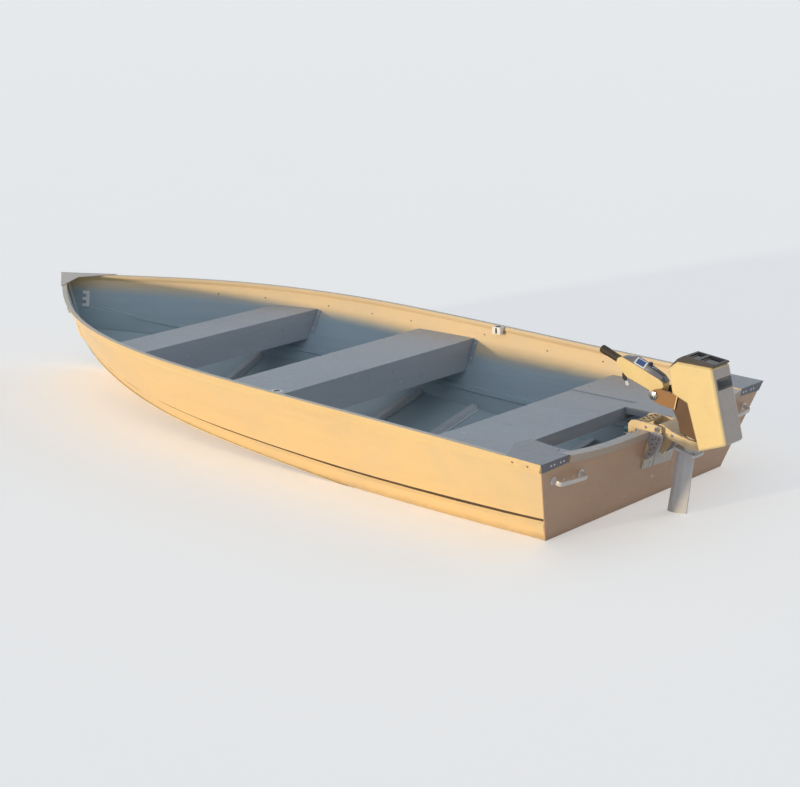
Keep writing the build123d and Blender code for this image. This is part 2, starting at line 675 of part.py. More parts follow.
def swivel_bracket():
    """Block that tilts on the pin and holds the leg's journal."""
    arm = [(10, 276), (10, 308), (70, 309), (110, 318), (126, 318), (135, 310), (135, 296), (126, 288), (108, 286), (84, 276)]
    block = lean(side_slab(arm, 42))
    collar = lean(Pos(0, 0, 292) * Cylinder(44, 36))
    hole = lean(Pos(0, 0, 292) * Cylinder(JOURNAL_R + 0.05, 80))
    bore = Pos(TILT_X, 0, TILT_Z) * Rot(90, 0, 0) * Cylinder(6.5, 140)
    return block + collar - hole - bore


def build():
    pieces = {}
    both_sides("hull_side", hull_side(), pieces)
    both_sides("hull_bottom", hull_bottom(), pieces)
    both_sides("gunwale", gunwale_rail(), pieces)
    both_sides("corner_cap", corner_cap(), pieces)
    both_sides("quarter_bench", quarter_bench(), pieces)
    both_sides("oarlock_socket", oarlock_socket(), pieces)
    both_sides("transom_handle", grab_handle(CORNER_Y - 97, 252, CORNER_Y - 258, 240), pieces)
    pieces["transom"] = transom_plate()
    pieces["transom_cap"] = transom_cap()
    pieces["transom_pad"] = transom_pad()
    pieces["keel"] = keel_bar()
    pieces["stem"] = stem_bar()
    pieces["bow_plate"] = bow_plate()
    pieces["bow_eye"] = bow_eye()
    pieces["bow_fitting"] = bow_cleat()
    for name in SEATS:
        pieces[name] = seat(name)
    for number, share in enumerate(RIBS_AT, 1):
        pieces[f"floor_rib_{number}"] = rib(share * LENGTH)
    pieces["clamp_bracket"] = clamp_bracket()
    pieces["port_clamp_screw"] = clamp_screw(30)
    pieces["starboard_clamp_screw"] = clamp_screw(-30)
    pieces["tilt_pin"] = tilt_pin()
    pieces["swivel_bracket"] = swivel_bracket()
    pieces["motor_head"] = lean(motor_head())
    pieces["motor_lid"] = lean(motor_lid())
    pieces["motor_neck"] = lean(motor_neck())
    pieces["tiller_pin"] = lean(tiller_pin())
    pieces["tiller_body"] = lean(tiller_body())
    pieces["tiller_top"] = lean(tiller_top())
    pieces["tiller_grip"] = lean(tiller_grip())
    pieces["motor_leg"] = lean(leg())
    pieces["leg_cuff"] = lean(leg_cuff())
    pieces["motor_pod"] = lean(pod())
    pieces["skeg"] = lean(skeg())
    pieces["propeller"] = lean(propeller())
    return pieces


os.makedirs("parts", exist_ok=True)
for node, solid in build().items():
    export_step(solid, f"parts/{node}.step")
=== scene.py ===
"""Looks of an open pressed-metal rowing boat with an electric outboard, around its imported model."""
import bpy
import bmesh
import math
from mathutils import Matrix, Vector
from mathutils.bvhtree import BVHTree


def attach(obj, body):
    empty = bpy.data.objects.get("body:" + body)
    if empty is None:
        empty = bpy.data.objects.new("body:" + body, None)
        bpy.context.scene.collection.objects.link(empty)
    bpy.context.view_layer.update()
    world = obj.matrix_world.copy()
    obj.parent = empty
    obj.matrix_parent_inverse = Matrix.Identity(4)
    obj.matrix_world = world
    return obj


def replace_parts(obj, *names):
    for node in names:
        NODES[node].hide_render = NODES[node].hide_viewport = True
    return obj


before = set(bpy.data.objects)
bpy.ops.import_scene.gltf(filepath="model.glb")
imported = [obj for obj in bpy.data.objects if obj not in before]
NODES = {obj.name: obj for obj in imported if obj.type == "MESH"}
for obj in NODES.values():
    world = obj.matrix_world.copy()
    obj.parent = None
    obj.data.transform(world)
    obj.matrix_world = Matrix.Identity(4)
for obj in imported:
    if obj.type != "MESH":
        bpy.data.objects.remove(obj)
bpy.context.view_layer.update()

# Pieces are drawn in millimetres: +X points to the bow, +Y to port, and Z = 0 is the water's surface.
# Points closer than MERGED, in metres, are one
MERGED = 1e-6
SIDES = (("port", 1), ("starboard", -1))
UP = Vector((0, 0, 1))

# Transom: height of its top corners, and how far forward it is at the water
CORNER_Z = 335.0
RAKE_X = 92.0
RAKE = RAKE_X / CORNER_Z
TRANSOM_OUT = Vector((-1, 0, -RAKE)).normalized()
TRANSOM_UP = Vector((-RAKE, 0, 1)).normalized()

# The motor is drawn upright on its own leg's axis, then leaned with its top aft. LEG_X is where that
# axis meets the water, and the tiller's pivot is in the motor's drawing
LEAN = math.radians(13.0)
LEG_X = -85.0
PIVOT_X = 183.0
PIVOT_Z = 410.0
TILLER_RISE = math.radians(7.0)

# Camera: places in metres, and focal length in pixels of the photograph's width
CAMERA_PLACE = Vector((-3.761, 5.404, 2.271))
CAMERA_TARGET = Vector((1.217, 0.097, 0.25))
CAMERA_ROLL = math.radians(-1.326)
FOCAL_PIXELS = 1842.99
PHOTO_WIDTH = 800.0
SENSOR_WIDTH = 36.0

# Lamps: name, way towards the lamp, strength, spread in degrees, tint
LAMPS = (
    ("key", (0.30, 1.0, 0.085), 2.45, 3.0, (1.0, 0.81, 0.52)),
    ("fill", (-0.35, -1.0, 0.55), 0.38, 40.0, (1.0, 0.93, 0.84)),
)
SKY = (0.76, 0.87, 1.0, 1.0)
SKY_STRENGTH = 0.52
BACKDROP = (0.74, 0.77, 0.79, 1.0)


def on_hull(x, y, z):
    """Point of the hull's drawing, in metres."""
    return Vector((x, y, z)) / 1000.0


def on_transom(y, z, lift=0.0):
    """Point on the transom's aft face, or lift outside it."""
    return on_hull(RAKE * (CORNER_Z - z), y, z) + TRANSOM_OUT * lift / 1000.0


def on_motor(x, y, z):
    """Point of the motor's own upright drawing, placed where the leaned motor has it."""
    forward = x * math.cos(LEAN) - z * math.sin(LEAN)
    height = x * math.sin(LEAN) + z * math.cos(LEAN)
    return on_hull(LEG_X + forward, y, height)


def on_tiller(x, y, z):
    """Point of the tiller's own drawing, whose origin is its pivot."""
    forward = x * math.cos(TILLER_RISE) - z * math.sin(TILLER_RISE)
    height = x * math.sin(TILLER_RISE) + z * math.cos(TILLER_RISE)
    return on_motor(PIVOT_X + forward, y, PIVOT_Z + height)


def direction(place, x, z):
    """Unit vector of a drawing's direction in x and z."""
    return (place(x, 0, z) - place(0, 0, 0)).normalized()


MOTOR_UP = direction(on_motor, 0, 100)
TILLER_UP = direction(on_tiller, 0, 100)


def make_camera():
    """The photograph's viewpoint, as fitted to the hull's own lines."""
    back = (CAMERA_PLACE - CAMERA_TARGET).normalized()
    level = UP.cross(back).normalized()
    upright = back.cross(level)
    right = level * math.cos(CAMERA_ROLL) + upright * math.sin(CAMERA_ROLL)
    up = upright * math.cos(CAMERA_ROLL) - level * math.sin(CAMERA_ROLL)
    data = bpy.data.cameras.new("camera")
    data.sensor_width = SENSOR_WIDTH
    data.sensor_fit = "HORIZONTAL"
    data.lens = FOCAL_PIXELS * SENSOR_WIDTH / PHOTO_WIDTH
    data.clip_end = 500.0
    camera = bpy.data.objects.new("camera", data)
    bpy.context.scene.collection.objects.link(camera)
    turn = Matrix((right, up, back)).transposed().to_4x4()
    camera.matrix_world = Matrix.Translation(CAMERA_PLACE) @ turn
    bpy.context.scene.camera = camera


class Nodes:
    """Short calls for building one material's tree."""

    def __init__(self, name):
        self.material = bpy.data.materials.new(name)
        self.material.use_nodes = True
        self.tree = self.material.node_tree
        self.shader = self.tree.nodes["Principled BSDF"]
        drawn = self.add("ShaderNodeTexCoord")
        self.place = drawn.outputs["Object"]
        self.facing = drawn.outputs["Normal"]

    def add(self, kind, **settings):
        node = self.tree.nodes.new(kind)
        for key, value in settings.items():
            setattr(node, key, value)
        return node

    def link(self, a, b):
        self.tree.links.new(a, b)

    def put(self, socket, value):
        """Links a socket to another, or writes a plain value into it."""
        if isinstance(value, bpy.types.NodeSocket):
            self.link(value, socket)
        else:
            socket.default_value = value

    def noise(self, scale, detail=3.0, rough=0.5, stretch=None, shift=0.0):
        """Noise on the piece's own drawing. A shift takes it from another place of the pattern."""
        source = self.place
        if stretch or shift:
            mapping = self.add("ShaderNodeMapping")
            mapping.inputs["Location"].default_value = (shift, shift * 0.7, shift * 1.3)
            mapping.inputs["Scale"].default_value = stretch or (1, 1, 1)
            self.link(self.place, mapping.inputs["Vector"])
            source = mapping.outputs["Vector"]
        node = self.add("ShaderNodeTexNoise")
        node.inputs["Scale"].default_value = scale
        node.inputs["Detail"].default_value = detail
        node.inputs["Roughness"].default_value = rough
        self.link(source, node.inputs["Vector"])
        return node.outputs["Fac"]

    def ramp(self, value, low, high, first=0.0, last=1.0):
        """Smooth step from first to last as the value goes from low to high."""
        node = self.add("ShaderNodeMapRange", interpolation_type="SMOOTHSTEP")
        self.link(value, node.inputs["Value"])
        node.inputs["From Min"].default_value = low
        node.inputs["From Max"].default_value = high
        node.inputs["To Min"].default_value = first
        node.inputs["To Max"].default_value = last
        return node.outputs["Result"]

    def math(self, kind, a, b=0.0):
        node = self.add("ShaderNodeMath", operation=kind)
        self.put(node.inputs[0], a)
        self.put(node.inputs[1], b)
        return node.outputs[0]

    def mix(self, share, a, b):
        """Colour between a and b. Each is a socket or a linear colour."""
        node = self.add("ShaderNodeMix", data_type="RGBA")
        self.put(node.inputs[0], share)
        for socket, colour in ((node.inputs[6], a), (node.inputs[7], b)):
            self.put(socket, colour if isinstance(colour, bpy.types.NodeSocket) else (*colour, 1.0))
        return node.outputs[2]

    def over(self, base, mask, strength, colour):
        """Lays a colour over the base where the mask is."""
        return self.mix(self.math("MULTIPLY", mask, strength), base, colour)

    def axis(self, letter, source=None):
        node = self.add("ShaderNodeSeparateXYZ")
        self.link(source or self.place, node.inputs[0])
        return node.outputs[letter]

    def finish(self, base, gloss_scale, smooth, dull, height, distance, strength):
        """Colour, roughness that wanders from smooth to dull, and bump."""
        self.link(base, self.shader.inputs["Base Color"])
        uneven = self.ramp(self.noise(gloss_scale, 4), 0.2, 0.8, smooth, dull)
        self.link(uneven, self.shader.inputs["Roughness"])
        node = self.add("ShaderNodeBump")
        node.inputs["Distance"].default_value = distance
        node.inputs["Strength"].default_value = strength
        self.link(height, node.inputs["Height"])
        self.link(node.outputs["Normal"], self.shader.inputs["Normal"])
        return self.material


def rgb(r, g, b):
    """Linear colour of a screen colour given in 0 to 255."""
    return tuple(((c / 255 + 0.055) / 1.055) ** 2.4 if c > 10 else c / 255 / 12.92 for c in (r, g, b))


def shade(colour, factor):
    return tuple(c * factor for c in colour)


# Heights in metres: where the inside's paint turns to its upper colour, which is painted sunlight above
# a painted shadow line of the far gunwale, from where and how fast that border rises towards the bow,
# and where the damp line above the water ends
BORDER = (0.195, 0.26)
BORDER_RISES_FROM = 1.3
BORDER_SLOPE = 0.068
DAMP_LINE = (0.012, 0.05)
DAMP = rgb(140, 116, 84)
DUST = rgb(150, 132, 112)
SCUFF = rgb(122, 112, 104)
CHIP = rgb(86, 76, 68)


def hull_paint(name, outside, inside, scuff, top=None, high=None, fleck=None):
    """Pressed plate: paint with slight waves, scuffs, dust and a damp line at the water.

    A face is outside where it looks away from the middle line or down. Where they are given, top is
    painted shade for what looks up, high is painted sunlight on the upper part of the inside, and fleck
    is for specks.
    """
    n = Nodes(name)
    outside, inside = rgb(*outside), rgb(*inside)
    sideways = n.math("MULTIPLY", n.math("MULTIPLY", n.axis("Y", n.facing), n.axis("Y")), 2.0)
    upwards = n.math("MULTIPLY", n.axis("Z", n.facing), 0.6)
    outward = n.ramp(n.math("SUBTRACT", sideways, upwards), -0.02, 0.02)
    within = inside
    # Painted sunlight: above the border the inside turns to the high colour, and the border rises towards
    # the bow like the far gunwale's shadow line
    if high:
        forward = n.math("MAXIMUM", n.math("SUBTRACT", n.axis("X"), BORDER_RISES_FROM), 0.0)
        level = n.math("SUBTRACT", n.axis("Z"), n.math("MULTIPLY", forward, BORDER_SLOPE))
        within = n.mix(n.ramp(level, *BORDER), inside, rgb(*high))
    base = n.mix(outward, within, outside)
    # Painted shade: faces that look up turn to the top colour, greyer than the sunlit sides
    if top:
        base = n.mix(n.ramp(n.axis("Z", n.facing), 0.55, 0.8), base, rgb(*top))
    clouds = n.ramp(n.noise(2.3, 4, 0.6), 0.35, 0.7)
    base = n.over(base, clouds, 0.14, shade(inside, 0.80))
    streaks = n.ramp(n.noise(5.0, 6, 0.65, (0.25, 0.25, 2.2), 11.0), 0.52, 0.74)
    base = n.over(base, streaks, 0.10, DUST)
    marks = n.ramp(n.noise(9.0, 8, 0.7, (0.35, 1.6, 1.6), 3.0), 0.60, 0.72)
    base = n.over(base, marks, scuff, SCUFF)
    chips = n.ramp(n.noise(150.0, 2, 0.5, None, 7.0), 0.71, 0.76)
    base = n.over(base, chips, 0.6 * scuff, CHIP)
    if fleck:
        flecks = n.ramp(n.noise(27.0, 4, 0.62, None, 31.0), 0.67, 0.71)
        base = n.over(base, flecks, 0.55, rgb(*fleck))
    ragged = n.math("ADD", n.axis("Z"), n.math("MULTIPLY", n.noise(14.0, 3), 0.03))
    damp = n.ramp(ragged, *DAMP_LINE, 1.0, 0.0)
    base = n.over(base, n.math("MULTIPLY", damp, outward), 0.40, DAMP)
    dents = n.math("MULTIPLY", n.noise(4.0, 3, 0.5, (0.45, 1.0, 3.2), 21.0), 0.8)
    waves = n.math("ADD", n.noise(3.0, 2, 0.4), dents)
    peel = n.math("MULTIPLY", n.noise(420.0, 2), 0.012)
    return n.finish(base, 40.0, 0.34, 0.50, n.math("ADD", waves, peel), 0.014, 0.6)


def cap_paint(name, above, sideways, aft):
    """Pressed cap, in one colour above, one where it looks to the side and one where it looks aft."""
    n = Nodes(name)
    above = rgb(*above)
    # Painted light: the cream where the cap looks to the side is painted sunlight, and the dark colour where
    # it looks aft is painted shade
    base = n.mix(n.ramp(n.math("ABSOLUTE", n.axis("Y", n.facing)), 0.60, 0.75), above, rgb(*sideways))
    base = n.mix(n.ramp(n.axis("X", n.facing), -0.75, -0.55, 1.0, 0.0), base, rgb(*aft))
    clouds = n.ramp(n.noise(24.0, 5, 0.6), 0.35, 0.75)
    base = n.over(base, clouds, 0.22, shade(above, 0.72))
    scratches = n.ramp(n.noise(70.0, 6, 0.75, (0.3, 1.0, 1.0), 5.0), 0.64, 0.72)
    base = n.over(base, scratches, 0.4, rgb(206, 204, 202))
    return n.finish(base, 50.0, 0.30, 0.46, n.noise(26.0, 3), 0.0015, 0.5)


def plain(name, colour, dark, rough, peel=600.0, depth=0.0003, metal=0.0, marks=0.15):
    """Moulded or coated surface with grain, uneven gloss and faint handling marks."""
    n = Nodes(name)
    colour = rgb(*colour)
    clouds = n.ramp(n.noise(18.0, 5, 0.6), 0.3, 0.75)
    base = n.over(colour, clouds, 0.35, rgb(*dark))
    scratches = n.ramp(n.noise(60.0, 6, 0.75, (0.2, 1.0, 1.0), 5.0), 0.66, 0.74)
    base = n.over(base, scratches, marks, tuple(min(1.0, c * 1.25 + 0.05) for c in colour))
    n.shader.inputs["Metallic"].default_value = metal
    return n.finish(base, 70.0, rough - 0.06, rough + 0.08, n.noise(peel, 2), depth, 0.6)


# Paints and plastics, with screen colours
SMOOTH = {"peel": 900, "depth": 0.0001, "marks": 0.05}
OUTSIDE = (240, 206, 150)
STERN_RAIL = (186, 166, 146)
SEAT = (166, 172, 180)
# The transom's browner, darker colour is painted shade
TRANSOM = (198, 160, 130)
MAT = {
    # The hull's high colour is painted sunlight on the upper inside
    "hull": hull_paint("hull_paint", OUTSIDE, (172, 188, 196), 0.10, high=(234, 204, 160)),
    # Rail and stern rail: the top colour is painted shade on faces that look up
    "rail": hull_paint("rail_paint", (240, 208, 150), (226, 200, 162), 0.14, top=(208, 198, 184)),
    "stern_rail": hull_paint("stern_rail_paint", STERN_RAIL, STERN_RAIL, 0.2, top=(190, 186, 184)),
    "seat": hull_paint("seat_paint", SEAT, SEAT, 0.48, fleck=(214, 212, 212)),
    "transom": hull_paint("transom_painted_shade", TRANSOM, TRANSOM, 0.16, fleck=(236, 216, 190)),
    # Corner caps: the cream sides are painted sunlight and the dark aft faces painted shade
    "cap": cap_paint("cap_paint", (146, 150, 158), OUTSIDE, (88, 90, 98)),
    # Dark brown for the groove's line is painted shade
    "groove": plain("groove_painted_shade", (74, 56, 38), (48, 38, 28), 0.5),
    "bow_cap": plain("bow_cap_paint", (214, 204, 194), (178, 170, 164), 0.42, peel=350, depth=0.0005),
    "rib": plain("rib_paint", (204, 208, 212), (160, 164, 170), 0.36, peel=400, depth=0.0004, marks=0.4),
    "fitting": plain("fitting_white", (246, 246, 244), (222, 224, 226), 0.4),
    # Brown for rivets is painted shade
    "brown": plain("rivet_painted_shade", (120, 92, 62), (92, 70, 48), 0.5),
    "alloy": plain("worn_alloy", (222, 214, 206), (180, 172, 166), 0.38, peel=500, metal=0.1),
    "bracket": plain("bracket_paint", (232, 204, 160), (200, 178, 148), 0.38),
    "silver": plain("silver_paint", (178, 176, 184), (140, 140, 148), 0.34, peel=500, metal=0.5),
    "steel": plain("screw_steel", (190, 192, 196), (130, 130, 134), 0.24, peel=700, depth=0.0002, metal=1.0),
    "pad": plain("pad_plastic", (206, 198, 186), (176, 168, 158), 0.5),
    "white": plain("motor_white", (236, 210, 152), (222, 194, 140), 0.32, **SMOOTH),
    # Grey for the head's aft faces is painted shade
    "shell": plain("motor_head_aft_painted_shade", (190, 176, 164), (170, 156, 148), 0.34, **SMOOTH),
    "lid": plain("lid_grey", (76, 68, 64), (52, 48, 46), 0.40, peel=800, depth=0.0002),
    "dark": plain("motor_dark", (46, 46, 52), (30, 30, 36), 0.36, peel=800, depth=0.0002),
    "gloss": plain("panel_gloss", (22, 24, 30), (14, 15, 20), 0.12, peel=900, depth=0.00005, marks=0.04),
    "cover": plain("tiller_cover_grey", (104, 106, 118), (74, 76, 86), 0.34, peel=800, depth=0.0002),
    "neck": plain("neck_dark", (98, 70, 44), (58, 44, 32), 0.44, peel=800),
    # Paler brown on the neck's side faces is painted sunlight
    "cheek": plain("neck_painted_sunlight", (156, 112, 66), (118, 84, 52), 0.42, peel=800),
    "grip": plain("grip_rubber", (74, 64, 54), (44, 38, 34), 0.66, peel=500, depth=0.0005),
    "leg": plain("leg_paint", (212, 208, 206), (186, 182, 184), 0.32),
    "blue": plain("pod_blue", (64, 104, 150), (44, 78, 122), 0.32),
    "pod": plain("pod_grey", (150, 156, 164), (118, 126, 136), 0.34),
    "frame": plain("screen_frame", (214, 218, 226), (180, 186, 198), 0.25),
    "screen": plain("screen_blue", (56, 86, 142), (34, 54, 100), 0.08, peel=900, depth=0.00003, marks=0.02),
    "teal": plain("knob_teal", (52, 116, 136), (34, 82, 100), 0.36),
    # Near-black for holes, slots and hollows is painted shade
    "hole": plain("hole_painted_shade", (38, 32, 28), (22, 20, 18), 0.7),
}

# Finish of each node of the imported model
BY_NODE = {
    "keel": "hull", "stem": "hull", "transom": "transom", "transom_cap": "stern_rail",
    "transom_pad": "pad", "bow_plate": "bow_cap", "bow_eye": "steel", "bow_fitting": "fitting",
    "bow_seat": "seat", "middle_seat": "seat", "stern_seat": "seat",
    "clamp_bracket": "bracket", "tilt_pin": "steel", "swivel_bracket": "bracket",
    "motor_head": "white", "motor_lid": "dark", "motor_neck": "neck", "motor_leg": "leg",
    "leg_cuff": "pod", "motor_pod": "pod", "skeg": "pod", "propeller": "blue",
    "tiller_pin": "steel", "tiller_body": "white", "tiller_top": "dark", "tiller_grip": "grip",
}
ON_BOTH_SIDES = {
    "hull_side": "hull", "hull_bottom": "hull", "gunwale": "rail", "corner_cap": "cap",
    "quarter_bench": "seat", "oarlock_socket": "fitting", "transom_handle": "alloy",
    "clamp_screw": "steel",
}
BY_NODE.update({f"{side}_{part}": key for side, _ in SIDES for part, key in ON_BOTH_SIDES.items()})
BY_NODE.update({f"floor_rib_{number}": "rib" for number in range(1, 7)})

# Where a node turns to its second finish, in metres or as part of the normal
NECK_CHEEK_Y = 0.0375
FACES_AFT = -0.75
POD_TAIL_X = -0.145


def second_finish(node, key, chosen):
    """Gives the chosen faces of a node another finish."""
    data = NODES[node].data
    data.materials.append(MAT[key])
    for face in data.polygons:
        if chosen(face):
            face.material_index = 1


def dress_nodes():
    for node, key in BY_NODE.items():
        data = NODES[node].data
        data.materials.clear()
        data.materials.append(MAT[key])
    # Painted sunlight: the neck's side faces turn paler brown
    second_finish("motor_neck", "cheek", lambda face: abs(face.center.y) > NECK_CHEEK_Y)
    # Painted shade: the head's faces that look aft turn grey
    second_finish("motor_head", "shell", lambda face: face.normal.x < FACES_AFT)
    second_finish("motor_pod", "blue", lambda face: face.center.x < POD_TAIL_X)


def finish_piece(name, mesh, body, *materials, bevel=0.0, steps=2, sharp=32.0):
    """Turns drawn faces into a named piece that rides on a body."""
    bmesh.ops.remove_doubles(mesh, verts=mesh.verts, dist=MERGED)
    bmesh.ops.recalc_face_normals(mesh, faces=mesh.faces)
    data = bpy.data.meshes.new(name)
    mesh.to_mesh(data)
    mesh.free()
    for key in materials:
        data.materials.append(MAT[key])
    for face in data.polygons:
        face.use_smooth = True
    data.set_sharp_from_angle(angle=math.radians(sharp))
    piece = bpy.data.objects.new(name, data)
    bpy.context.scene.collection.objects.link(piece)
    if bevel:
        edge = piece.modifiers.new("edge", "BEVEL")
        edge.width = bevel / 1000.0
        edge.segments = steps
        edge.limit_method = "ANGLE"
        edge.angle_limit = math.radians(30)
    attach(piece, body)
    return piece


def skin(mesh, rows):
    """Closed skin over rows of points with the same count, capped at both ends."""
    made = [[mesh.verts.new(point) for point in row] for row in rows]
    for a, b in zip(made, made[1:]):
        for i in range(len(a)):
            j = (i + 1) % len(a)
            mesh.faces.new((a[i], a[j], b[j], b[i]))
    mesh.faces.new(made[0])
    mesh.faces.new(made[-1][::-1])


def prism(mesh, outline, low, high, place):
    """Outline in x and z, drawn out along y from low to high."""
    near, far = [[mesh.verts.new(place(x, y, z)) for x, z in outline] for y in (low, high)]
    mesh.faces.new(near)
    mesh.faces.new(far[::-1])
    for i in range(len(outline)):
        j = (i + 1) % len(outline)
        mesh.faces.new((near[i], far[i], far[j], near[j]))


def slab(mesh, outline, low, high):
    """Outline in x and y, drawn up from low to high."""
    skin(mesh, [[on_hull(x, y, z) for x, y in outline] for z in (low, high)])


# Least radius of a turned form, so that its tip is a tiny face and not many points in one place
TIP = 0.02


def turned(mesh, centre, way, profile, steps=28):
    """Turned form about way from centre. Its profile is rows of radius and height."""
    way = way.normalized()
    side = way.orthogonal().normalized()
    other = way.cross(side)
    rows = []
    for radius, height in profile:
        row = []
        for k in range(steps):
            a = 2 * math.pi * k / steps
            arm = (side * math.cos(a) + other * math.sin(a)) * max(radius, TIP)
            row.append(centre + (way * height + arm) / 1000.0)
        rows.append(row)
    skin(mesh, rows)


def hex_bolt(mesh, centre, way, size, height):
    """Six-sided head on its washer."""
    turned(mesh, centre, way, [(size * 1.5, 0), (size * 1.5, 1.0), (size * 1.1, 1.2)], 24)
    turned(mesh, centre, way, [(size, 1.0), (size, height), (size * 0.8, height + 0.6)], 6)


def dome(mesh, centre, way, radius):
    """Rivet's head."""
    profile = [(radius, -0.3), (radius, 0.3), (radius * 0.82, 1.2), (radius * 0.45, 1.9), (0, 2.1)]
    turned(mesh, centre, way, profile, 14)


TREES = {}


def surface(node, start, way):
    """Where a line from start meets a node and the normal there, or None where it misses."""
    if node not in TREES:
        data = NODES[node].data
        points = [vertex.co.copy() for vertex in data.vertices]
        TREES[node] = BVHTree.FromPolygons(points, [tuple(face.vertices) for face in data.polygons])
    place, normal, _, _ = TREES[node].ray_cast(start, way.normalized())
    if place is None:
        return None
    return place, normal if normal.dot(way) < 0 else -normal


def rivets(name, node, spots, way, key, radius):
    """Rivets where lines from the spots meet a node."""
    mesh = bmesh.new()
    for spot in spots:
        hit = surface(node, on_hull(*spot), way)
        if hit:
            dome(mesh, *hit, radius)
    finish_piece(name, mesh, "hull", key)


# Rivets that show along each side, as x and z
CAP_RIVETS = ((62, 318), (130, 321))
SIDE_RIVETS = (
    (760, 300), (1060, 300), (1420, 318), (1850, 322), (2080, 326), (2330, 336), (2670, 346), (2900, 352),
)
STERN_RIVETS_Y = (640, 622, 586, 568)
STERN_RIVETS_Z = 319
STERN_SEAT_RIVETS_X = (398, 534, 670)
STERN_SEAT_RIVETS_Y = 560
# Where the lines to the rivets start: outside the side, aft of the transom and above the seats
CLEAR_Y = 900
CLEAR_X = -300
CLEAR_Z = 400


def hull_details():
    for side, sign in SIDES:
        out = Vector((0, sign, 0))
        cap = f"{side}_corner_cap"
        spots = [(x, CLEAR_Y * sign, z) for x, z in CAP_RIVETS]
        # The cap's side rivets are brown as painted shade
        rivets(f"{side}_cap_rivets", cap, spots, -out, "brown", 4.4)
        spots = [(CLEAR_X, y * sign, STERN_RIVETS_Z) for y in STERN_RIVETS_Y]
        rivets(f"{side}_cap_stern_rivets", cap, spots, Vector((1, 0, 0)), "steel", 4.4)
        spots = [(x, 0, z) for x, z in SIDE_RIVETS]
        # The side rivets are brown as painted shade
        rivets(f"{side}_side_rivets", f"{side}_hull_side", spots, out, "brown", 3.6)
        seat_tabs(side, sign)
        groove_line(side, sign)
        transom_grip(side, sign)
        spots = [(x, STERN_SEAT_RIVETS_Y * sign, CLEAR_Z) for x in STERN_SEAT_RIVETS_X]
        rivets(f"{side}_stern_seat_rivets", "stern_seat", spots, -UP, "seat", 4.0)
        oarlock(side, sign)
    transom_pads()


# Seats: name, x of the aft and fore edge, height of the top
SEATS = (("bow", 2382.9, 2615.1, 318.0), ("middle", 1471.0, 1791.0, 296.0), ("stern", 372.9, 695.1, 253.2))
TAB_NEAR = 1.5    # tab's edges, from the seat's edge
TAB_FAR = 24
TAB_T = 0.0024    # its thickness over the plate, in metres
TAB_SUNK = 0.0002


def seat_tabs(side, sign):
    """Flanges that hold the seats' ends to the side plates, two rivets in each."""
    way = Vector((0, sign, 0))
    plate = f"{side}_hull_side"
    for seat, aft, fore, top in SEATS:
        mesh = bmesh.new()
        heads = bmesh.new()
        for start, end in ((aft - TAB_FAR, aft - TAB_NEAR), (fore + TAB_NEAR, fore + TAB_FAR)):
            rows = []
            for drop in (6, 40, 74, 104):
                hits = [surface(plate, on_hull(x, 0, top - drop), way) for x in (start, end)]
                if all(hits):
                    (a, na), (b, nb) = hits
                    under = [a + na * TAB_SUNK, b + nb * TAB_SUNK]
                    rows.append(under + [b + nb * TAB_T, a + na * TAB_T])
            skin(mesh, rows)
            for drop in (22, 84):
                hit = surface(plate, on_hull((start + end) / 2, 0, top - drop), way)
                if hit:
                    dome(heads, hit[0] + hit[1] * TAB_T, hit[1], 4.2)
        finish_piece(f"{side}_{seat}_seat_tabs", mesh, "hull", "seat")
        finish_piece(f"{side}_{seat}_tab_rivets", heads, "hull", "alloy")


# Middle of the groove pressed along each side: x, z and half its height
GROOVE_LINE = (
    (69, 90, 9), (272, 83, 9), (480, 79, 8.5), (698, 77.5, 8), (916, 77.5, 7.5), (1134, 80, 7),
    (1352, 87, 6.5), (1567, 95, 6.2), (1781, 104, 6), (1993, 115, 5.6), (2203, 126, 5.2),
    (2413, 140, 4.8), (2626, 157, 4.4), (2839, 178, 4.2), (3051, 202, 4), (3162, 220, 4),
    (3279, 246, 4), (3398, 275, 4), (3516, 304, 4),
)
GROOVE_STATIONS = (72, 75, 80, 90, *range(110, 3510, 38))
GROOVE_CLEAR_Y = 1200    # where the lines to the groove start, outside the side
LINE_PROUD = 0.0007      # line of painted shade over and under the plate's face, in metres
LINE_SUNK = 0.0003


def groove_at(x):
    """Height of the groove's middle at x, and half the groove's height."""
    for (xa, za, ha), (xb, zb, hb) in zip(GROOVE_LINE, GROOVE_LINE[1:]):
        if x <= xb:
            t = (x - xa) / (xb - xa)
            return za + (zb - za) * t, ha + (hb - ha) * t


def groove_line(side, sign):
    """Dark line of painted shade that lies in the groove. It starts where the raked plate does."""
    way = Vector((0, -sign, 0))
    mesh = bmesh.new()
    rows = []
    for x in GROOVE_STATIONS:
        middle, half = groove_at(x)
        starts = [
            on_hull(x, GROOVE_CLEAR_Y * sign, middle + half * share) for share in (-0.75, 0.0, 0.85)
        ]
        hits = [surface(f"{side}_hull_side", start, way) for start in starts]
        if all(hits):
            outer = [place + normal * LINE_PROUD for place, normal in hits]
            inner = [place - normal * LINE_SUNK for place, normal in hits]
            rows.append(outer + inner[::-1])
    skin(mesh, rows)
    finish_piece(f"{side}_groove_line", mesh, "hull", "groove")


# Strap handles on the transom: y and z of the outboard and inboard foot. Half of the strap's line as
# distance from a foot and height over the transom, and its section as thickness and width
GRIP_FEET = ((603.0, 252.0), (442.0, 240.0))
STRAP_RISE = [(0, 1), (0, 22), (1.6, 28), (6, 32.4), (13, 34)]
STRAP_TOP = 35
STRAP_SECTION = ((2.4, -8), (3.2, -5), (3.2, 5), (2.4, 8), (-2.4, 8), (-2.4, -8))


